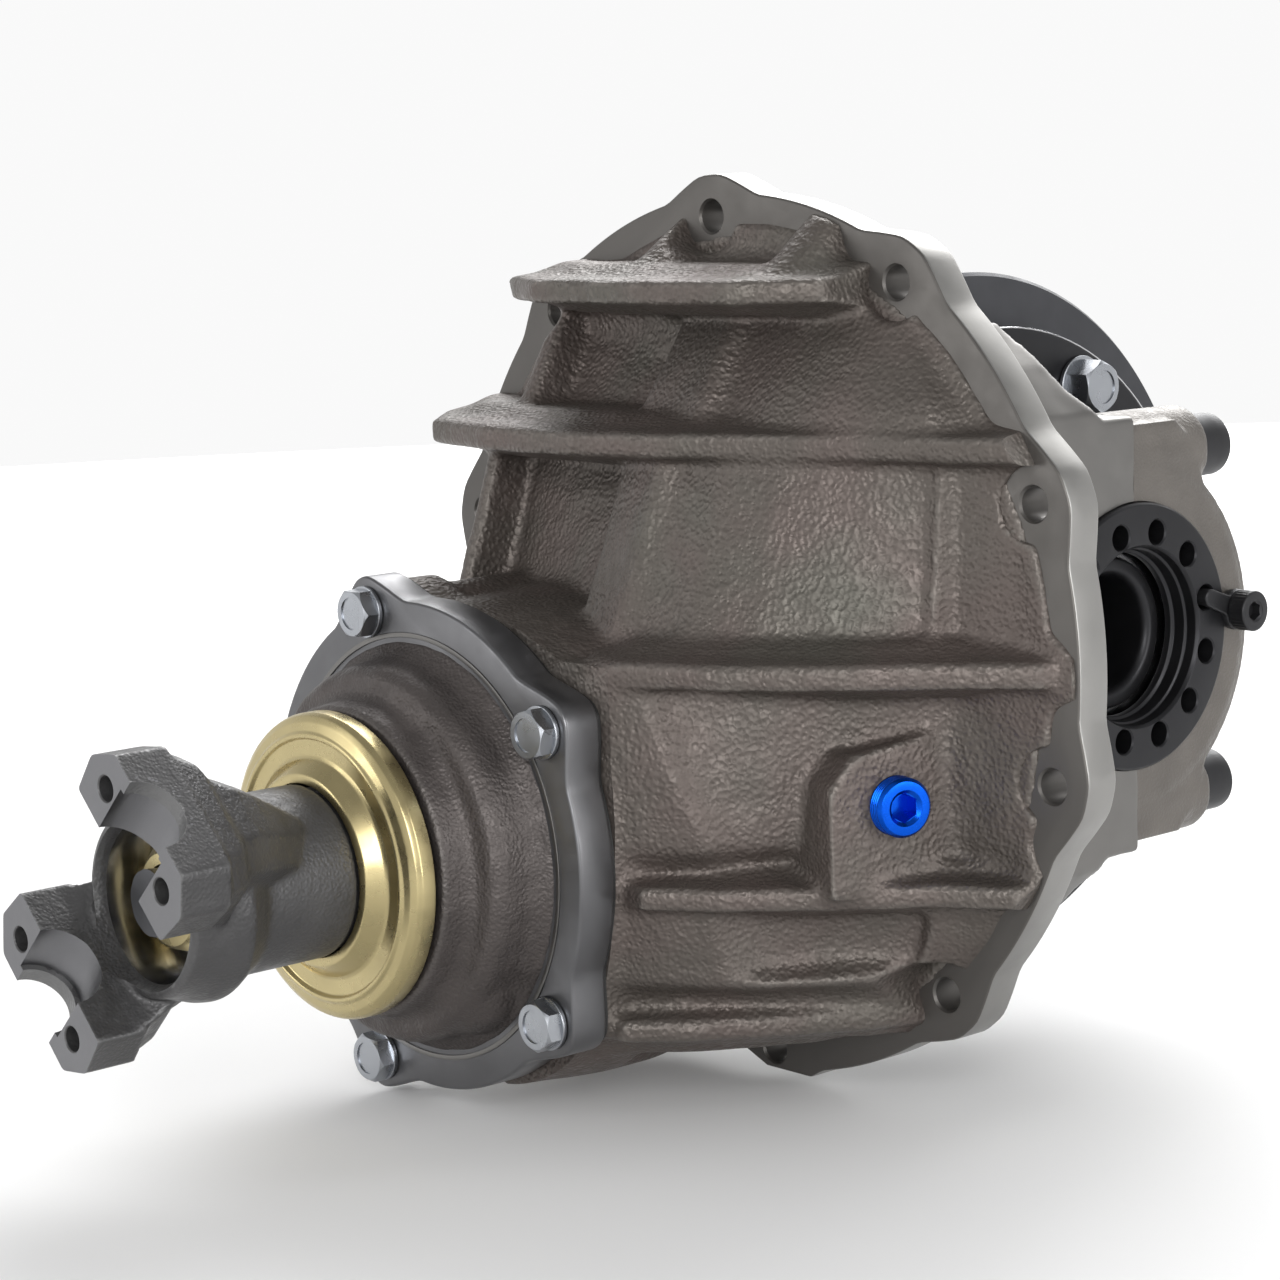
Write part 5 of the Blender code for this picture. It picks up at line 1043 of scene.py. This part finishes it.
def lock(side, hand):
    """Lock finger that enters a spanner hole, with a round hub under its screw."""
    axis = OUTWARDS[side]
    tip_y, tip_z = on_axle(SPANNER_CIRCLE, SPANNER_FIRST)
    low, high = ADJUSTER_OUT + GAP, ADJUSTER_OUT + 2.5
    start, end = Vector((tip_y, tip_z)), Vector((LOCK_SCREW_Y, LOCK_SCREW_Z))
    along = (end - start).normalized()
    across = Vector((-along.y, along.x))
    outline = []
    for i in range(9):
        turn = math.radians(90 + 22.5 * i)
        outline.append(tuple(start + 2.9 * (along * math.cos(turn) + across * math.sin(turn))))
    strap = side_plate(outline + [tuple(end - across * 3.2), tuple(end + across * 3.2)],
                       *sorted((side * low, side * high)))
    hub = lathe("hub", [(0, high), (6.3, high), (6.8, low + 0.4), (6.3, PEDESTAL_OUT + GAP),
                        (0, PEDESTAL_OUT + GAP)], place((0, LOCK_SCREW_Y, LOCK_SCREW_Z), axis), 0.3, 64)
    finger = lathe("finger", [(0, low + 1.4), (2.9, low + 1.4), (2.7, low - 3.6), (0, low - 3.9)],
                   place((0, tip_y, tip_z), axis), 0.5, 40)
    item = cast(f"adjuster_lock_{hand}_black", [strap, hub, finger], 0.45, 4)
    finish(item, "housing", "black_oxide_steel", [f"adjuster_lock_{hand}"], BLACK_SCREW)
    where = place((side * (high + 0.1), LOCK_SCREW_Y, LOCK_SCREW_Z), axis)
    screw = socket_screw(f"lock_screw_{hand}_black", 6.6, 6.3, 5.5, 2.9, 12, where, 30)
    finish(screw, "housing", "black_oxide_steel", [f"lock_screw_{hand}"], BLACK_SCREW)


# ---------------------------------------------------------------- carrier
def carrier_bolt_at(i):
    return on_axle(CARRIER_BOLT_CIRCLE, 90 - CARRIER_FIRST_BOLT - 360 / CARRIER_BOLTS * i)


def carrier_bolts():
    for i in range(CARRIER_BOLTS):
        turn = Matrix.Rotation(math.radians(23 * i), 4, "Z")
        where = place((CASE_FLANGE_X + GAP, *carrier_bolt_at(i)), "X") @ turn
        bolt = hex_bolt(f"ring_gear_bolt_{i + 1}_zinc", 15.5, 10.5, 10.2, 4.9, 26, where)
        finish(bolt, "carrier", "bright_zinc_steel", [f"ring_gear_bolt_{i + 1}"], ZINC)


def meeting_y(radius):
    """y at which a circle of the ring gear passes the pinion's height."""
    return AXLE_Y - math.sqrt(radius ** 2 - PINION_Z ** 2)


def ring_gear():
    """Hypoid ring gear with curved teeth that have rounded tips and hollow roots."""
    ratio = RING_TEETH / PINION_TEETH
    step = TAU / RING_TEETH
    root_rise, tip_drop = TOOTH_DEDENDUM + 1.2, TOOTH_ADDENDUM - 0.6
    # one tooth and its gap: place in tooth steps, and level from 1 at the root to -1 at the tip
    spread = ((-0.33, 1.0), (-0.16, 1.08), (0.0, 1.12), (0.16, 1.08), (0.33, 1.0), (0.36, 0.75), (0.39, 0.35),
              (0.415, -0.15), (0.43, -0.7), (0.45, -0.95), (0.5, -1.0), (0.55, -0.95), (0.57, -0.7),
              (0.585, -0.15), (0.61, 0.35), (0.64, 0.75))

    def row(radius, level_x):
        y = meeting_y(max(radius, 84))
        angle = math.atan2(PINION_Z, y - AXLE_Y) + PINION_TWIST * (y - PITCH_Y) / ratio
        spots = []
        for tooth in range(RING_TEETH):
            for offset, level in spread:
                turn = angle + (tooth + offset) * step
                spots.append(point(level_x(level), AXLE_Y + radius * math.cos(turn), radius * math.sin(turn)))
        return spots

    def toothed(radius, fade=1.0):
        pitch_x = PINION_X + PITCH_RADIUS - PINION_TAPER * (meeting_y(radius) - PITCH_Y)
        return row(radius, lambda level: pitch_x + (level * root_rise if level > 0 else
                                                    max(level, -fade) * tip_drop))

    floor_x = PINION_X + PITCH_RADIUS - PINION_TAPER * (meeting_y(84) - PITCH_Y) + root_rise + 0.6
    rows = [toothed(84 + (RING_RADIUS - 84) * i / 12) for i in range(13)]
    rows.append(row(RING_RADIUS, lambda level: RING_BACK_X - 1.4))
    rows.append(row(RING_RADIUS - 1.2, lambda level: RING_BACK_X))
    rows.append(row(RING_BORE, lambda level: RING_BACK_X))
    rows.append(row(RING_BORE, lambda level: floor_x))
    item = skin("ring_gear_cut", rows, None, closed=True)
    recentre(item, AXLE_PLACE)
    shade(item, 28)
    finish(item, "carrier", "gear_steel", ["ring_gear"], GEAR_STEEL, RING_BACK)
    paint(item, 1, lambda at, normal: at.z > RING_BACK_X - 2 or (at.xy.length > RING_RADIUS - 1 and at.z > 8))


def differential_case():
    """Black two-window case: a bolted flange, a domed end, journals and reinforcing rings."""
    start, flange_x = RING_BACK_X + GAP, CASE_FLANGE_X
    item = lathe("differential_case_black", [
        (JOURNAL_RADIUS, 90.4), (JOURNAL_RADIUS, 62), (31, 60), (44, 58), (58, 53.5), (62, flange_x + 0.3),
        (64, flange_x), (CASE_FLANGE_RADIUS - 0.8, flange_x), (CASE_FLANGE_RADIUS, flange_x - 0.8),
        (CASE_FLANGE_RADIUS, start), (RING_BORE - GAP, start), (RING_BORE - GAP, 20), (64, 16), (62, 13),
        (62, -15), (58, -19), (50.5, -23), (49.4, -30), (49.4, -54), (46, -59), (32, -61.5),
        (JOURNAL_RADIUS, -63), (JOURNAL_RADIUS, -90.4), (AXLE_BORE + 0.8, -90.4), (AXLE_BORE, -89),
        (AXLE_BORE, -49), (26.3, -49), (26.3, -41), (46, -39), (46, 33), (26.3, 35), (26.3, 43),
        (AXLE_BORE, 43), (AXLE_BORE, 88.5), (AXLE_BORE + 1.6, 90.4)], AXLE_PLACE, 1.0, 120)
    settle(item)
    near, far = AXLE_Y - 80, AXLE_Y + 80
    window = cast("window", [prism("box", [(-34, near), (28, near), (28, far), (-34, far)], -25, 25)], 1.5, 6)
    pin_hole = cylinder(CROSS_PIN_RADIUS + GAP, -80, 85, (DIFF_CENTRE_X, AXLE_Y, 0), "Z")
    holes = [cylinder(5.3, 20, 65, (0, *carrier_bolt_at(i)), "X") for i in range(CARRIER_BOLTS)]
    carve(item, window, pin_hole, *holes)
    recentre(item, AXLE_PLACE)
    finish(item, "carrier", "black_oxide_steel", ["differential_case"], BLACK, POLISHED)
    paint(item, 1, lambda at, normal: abs(at.z) > 66 and abs(at.xy.length - JOURNAL_RADIUS) < 0.3)
    where = place((DIFF_CENTRE_X, AXLE_Y, 0))
    pin = lathe("cross_pin_ground", bar(CROSS_PIN_RADIUS, 59, -59), where, 1.0, 64)
    finish(pin, "carrier", "machined_steel", ["cross_pin"], POLISHED)
    edge = lathe("differential_case_edge", [
        (CASE_FLANGE_RADIUS - 0.15, flange_x - 0.2), (CASE_FLANGE_RADIUS + 0.05, flange_x - 0.7),
        (CASE_FLANGE_RADIUS - 0.4, flange_x - 1.2), (CASE_FLANGE_RADIUS - 1.2, flange_x - 0.6)],
        AXLE_PLACE, 0, 120)
    finish(edge, "carrier", "black_oxide_steel", ["differential_case"], POLISHED)


# ---------------------------------------------------------------- yoke and its trim
def yoke_frame():
    """Local X runs ear to ear, local Y across the ears and local Z towards the gear case."""
    turn = math.radians(YOKE_ANGLE)
    along = Vector((math.cos(turn), 0, math.sin(turn)))
    ahead = Vector((0, 1, 0))
    across = ahead.cross(along)
    basis = Matrix((along, across, ahead)).transposed().to_4x4()
    return Matrix.Translation(point(PINION_X, YOKE_FACE_Y, PINION_Z)) @ basis


def yoke():
    """Forged yoke with machined strap pads, saddles and bore. Heights are measured back from the pads."""
    where = yoke_frame()
    radius = YOKE_HUB_RADIUS + 0.4
    solids = [lathe("hub", [(0, 99.5), (25.4, 99.5), (25.4, 79), (radius, 78.7), (radius, 46), (30, 42),
                            (33, 37), (32.5, 32), (30, 25), (28.6, 18.5), (25, 18), (0, 18)], where, 1.2)]
    for side in (-1, 1):
        ear = ((26, -28), (26, 28), (40, 30), (50, 22), (50, -22), (40, -30))
        solids.append(prism("ear", [(side * u, v) for u, v in ear], -3, 18, where))
        arm = []
        for height, inner, outer, half in ((13, 26, 49.5, 27), (20, 24, 48.5, 26), (27, 18, 46, 24),
                                           (30.5, 14, 43.5, 19), (38, 6, 41, 17), (46, 2, 37.5, 15.5),
                                           (56, 0, 32, 13), (66, 0, 27, 9)):
            corners = [(inner, -half), (inner, half), (outer - 6, half), (outer, half - 8), (outer, 8 - half),
                       (outer - 6, -half)]
            arm.append([where @ point(side * u, v, height) for u, v in corners])
        solids.append(skin("arm", arm))
    item = cast("pinion_yoke_forged", solids, 0.9, 9)
    across = where @ Matrix.Rotation(math.pi / 2, 4, "Y")
    tools = [
        prism("front", [(-80, -80), (80, -80), (80, 80), (-80, 80)], -20, 0, where),
        lathe("bore", [(0, 110), (16.1, 110), (16.1, 43.2), (24.5, 43.2), (24.8, 22), (26.5, 18), (26.5, -6),
                       (0, -6)], where, 0),
        lathe("saddle", bar(JOINT_CAP_RADIUS, 44.5, -44.5), across, 0),
        lathe("relief", bar(JOINT_CAP_RADIUS - 1.8, 60, -60), across, 0)]
    for u in (-YOKE_PAD_U, YOKE_PAD_U):
        for v in (-YOKE_PAD_V, YOKE_PAD_V):
            tools.append(lathe("hole", [(0, 26), (3.9, 26), (3.9, 0.4), (4.3, 0), (4.3, -6), (0, -6)],
                               where @ Matrix.Translation(point(u, v, 0)), 0, 40))
    carve(item, *tools)
    recentre(item, where)
    finish(item, "pinion", "forged_steel", ["pinion_yoke"], FORGED, PAD_STEEL, POLISHED)
    paint(item, 1, lambda at, normal: at.z < 0.02
          or (abs(math.hypot(at.y, at.z) - JOINT_CAP_RADIUS) < 0.08 and at.z < 15.2))
    paint(item, 2, lambda at, normal: 15 < at.xy.length < 24.9 and at.z > 15)


def slinger():
    """Gold dust shield: a hub ring, a stepped face and a rolled skirt with fine creases."""
    def creases(radius, height, turn):
        on_rim = max(0.0, (radius - 45.5) / 3)
        fine = math.sin(97 * turn) * math.sin(41 * turn + 1.3)
        return 0.05 * on_rim * fine * (0.3 + 0.7 * max(0.0, math.sin(turn * 2 + 0.6)))

    inner = YOKE_HUB_RADIUS + GAP
    item = lathe("dust_shield_gold", [
        (SLINGER_RADIUS, -141.3), (SLINGER_RADIUS, -146.2), (47.8, -147.8), (45.8, -149.0), (43.2, -149.6),
        (42.2, -150.4), (41.2, -150.4), (40.4, -149.0), (35.6, -149.0), (34.4, -149.6), (30.4, -154.3),
        (29.6, -154.5), (inner, -154.5), (inner, -152.2), (29, -152.2), (33.4, -147.2), (43, -147.6),
        (SLINGER_RADIUS - 1.4, -145.4), (SLINGER_RADIUS - 1.4, -141.3)], PINION_PLACE, 0.4, 288, creases)
    finish(item, "pinion", "gold_zinc_steel", ["dust_shield"], GOLD)


def pinion_trim():
    washer = lathe("pinion_washer_gold", [(20, -190.6), (20, -193.8), (11, -193.8), (11, -190.6)],
                   PINION_PLACE, 0.4)
    finish(washer, "pinion", "gold_zinc_steel", ["pinion_washer"], GOLD)
    front = place((PINION_X, -194.1, PINION_Z), "-Y")
    nut = settle(prism("pinion_nut_gold", hexagon(30), 0, 11.8, front))
    slope = lathe("slope", [(0, 11.8), (14.2, 11.8), (17.6, 9.2), (20, 9.2), (20, 0), (0, 0)], front, 0)
    carve(nut, slope, operation="INTERSECT")
    carve(nut, lathe("thread", bar(10.9, 20, -5), front, 0))
    finish(nut, "pinion", "gold_zinc_steel", ["pinion_nut"], GOLD)


# ---------------------------------------------------------------- CAD pieces that stay, with better finishes
def dress(item, made):
    item.data.materials.clear()
    item.data.materials.append(made)
    shade(item, 32)


def dress_frame():
    for name, item in frame["nodes"].items():
        if name.endswith(("_cup", "_cone", "_rollers")) or name == "pinion_bearing_spacer":
            dress(item, POLISHED)
        elif name.startswith(("side_gear", "spider_gear", "pinion_gear")):
            dress(item, GEAR_STEEL)
        elif name == "pinion_oil_seal":
            dress(item, RUBBER)


# ---------------------------------------------------------------- assembly
casting()
flange()
fill_plug()
support()
seal_line()
support_bolts()
for side, hand in ((-1, "left"), (1, "right")):
    bearing_cap(side, hand)
    cap_bolts(side, hand)
    adjuster(side, hand)
    lock(side, hand)
ring_gear()
differential_case()
carrier_bolts()
yoke()
slinger()
pinion_trim()
dress_frame()


# ---------------------------------------------------------------- stage, lights and camera
def stage():
    floor_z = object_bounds()[0][2] - 0.002
    floor = bpy.data.meshes.new("floor")
    work = bmesh.new()
    bmesh.ops.create_circle(work, cap_ends=True, segments=128, radius=2.4)
    work.to_mesh(floor)
    work.free()
    item = add("floor", floor, Matrix.Translation((0, 0, floor_z)))
    pale = Finish("pale_floor", (0.86, 0.86, 0.86), 0.0, 0.9)
    item.data.materials.append(pale.made)
    item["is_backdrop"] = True


def lamp(name, at, aim, size, power, shape=(1.0, 1.0)):
    data = bpy.data.lights.new(name, "AREA")
    data.shape = "RECTANGLE"
    data.size = size * shape[0]
    data.size_y = size * shape[1]
    data.energy = power
    item = bpy.data.objects.new(name, data)
    bpy.context.scene.collection.objects.link(item)
    ray = Vector(aim) - Vector(at)
    item.matrix_world = Matrix.Translation(at) @ ray.to_track_quat("-Z", "Y").to_matrix().to_4x4()


CAMERA_AZIMUTH = 48.74
CAMERA_ELEVATION = 8.65
CAMERA_ROLL = -1.9
CAMERA_AT = (758.9, -723.5, 158.2)
CAMERA_LENS = 90.95
CAMERA_SENSOR = 36.0


def camera():
    around, up_angle, roll = (math.radians(a) for a in (CAMERA_AZIMUTH, CAMERA_ELEVATION, CAMERA_ROLL))
    level = Vector((math.sin(around), -math.cos(around), 0))
    back = level * math.cos(up_angle) + Vector((0, 0, math.sin(up_angle)))
    right = Vector((math.cos(around), math.sin(around), 0))
    up = back.cross(right)
    tilted_right = math.cos(roll) * right + math.sin(roll) * up
    tilted_up = math.cos(roll) * up - math.sin(roll) * right
    data = bpy.data.cameras.new("camera")
    data.lens = CAMERA_LENS
    data.sensor_width = CAMERA_SENSOR
    data.clip_end = 20
    item = bpy.data.objects.new("camera", data)
    bpy.context.scene.collection.objects.link(item)
    basis = Matrix((tilted_right, tilted_up, back)).transposed().to_4x4()
    item.matrix_world = Matrix.Translation(point(*CAMERA_AT)) @ basis
    bpy.context.scene.camera = item


def world():
    """White round the horizon and dim overhead."""
    sky = bpy.data.worlds.new("studio")
    sky.use_nodes = True
    nodes = sky.node_tree.nodes
    shade_up = nodes.new("ShaderNodeMapRange")
    for key, amount in (("From Min", 0.2), ("From Max", 0.75), ("To Min", 0.95), ("To Max", 0.4)):
        shade_up.inputs[key].default_value = amount
    split = nodes.new("ShaderNodeSeparateXYZ")
    sky.node_tree.links.new(nodes.new("ShaderNodeTexCoord").outputs["Generated"], split.inputs["Vector"])
    sky.node_tree.links.new(split.outputs["Z"], shade_up.inputs["Value"])
    sky.node_tree.links.new(shade_up.outputs["Result"], nodes["Background"].inputs["Strength"])
    nodes["Background"].inputs["Color"].default_value = (1, 1, 1, 1)
    bpy.context.scene.world = sky
    bpy.context.scene.view_settings.view_transform = "Standard"


stage()
world()
camera()
lamp("key", (1.1, -1.2, 0.45), (0, -0.05, 0), 0.7, 13)
lamp("left_strip", (-0.9, -1.4, 0.35), (0, -0.1, 0), 0.8, 4, (0.4, 1.4))
lamp("right_strip", (1.5, 0.2, 0.3), (0, 0, 0), 0.8, 8, (0.5, 1.4))
lamp("back", (-0.5, 1.5, 1.3), (0, -0.1, -0.1), 1.8, 18)
lamp("backdrop", (-1.5, 1.9, 1.6), (-1.4, 1.3, -0.15), 2.0, 70)
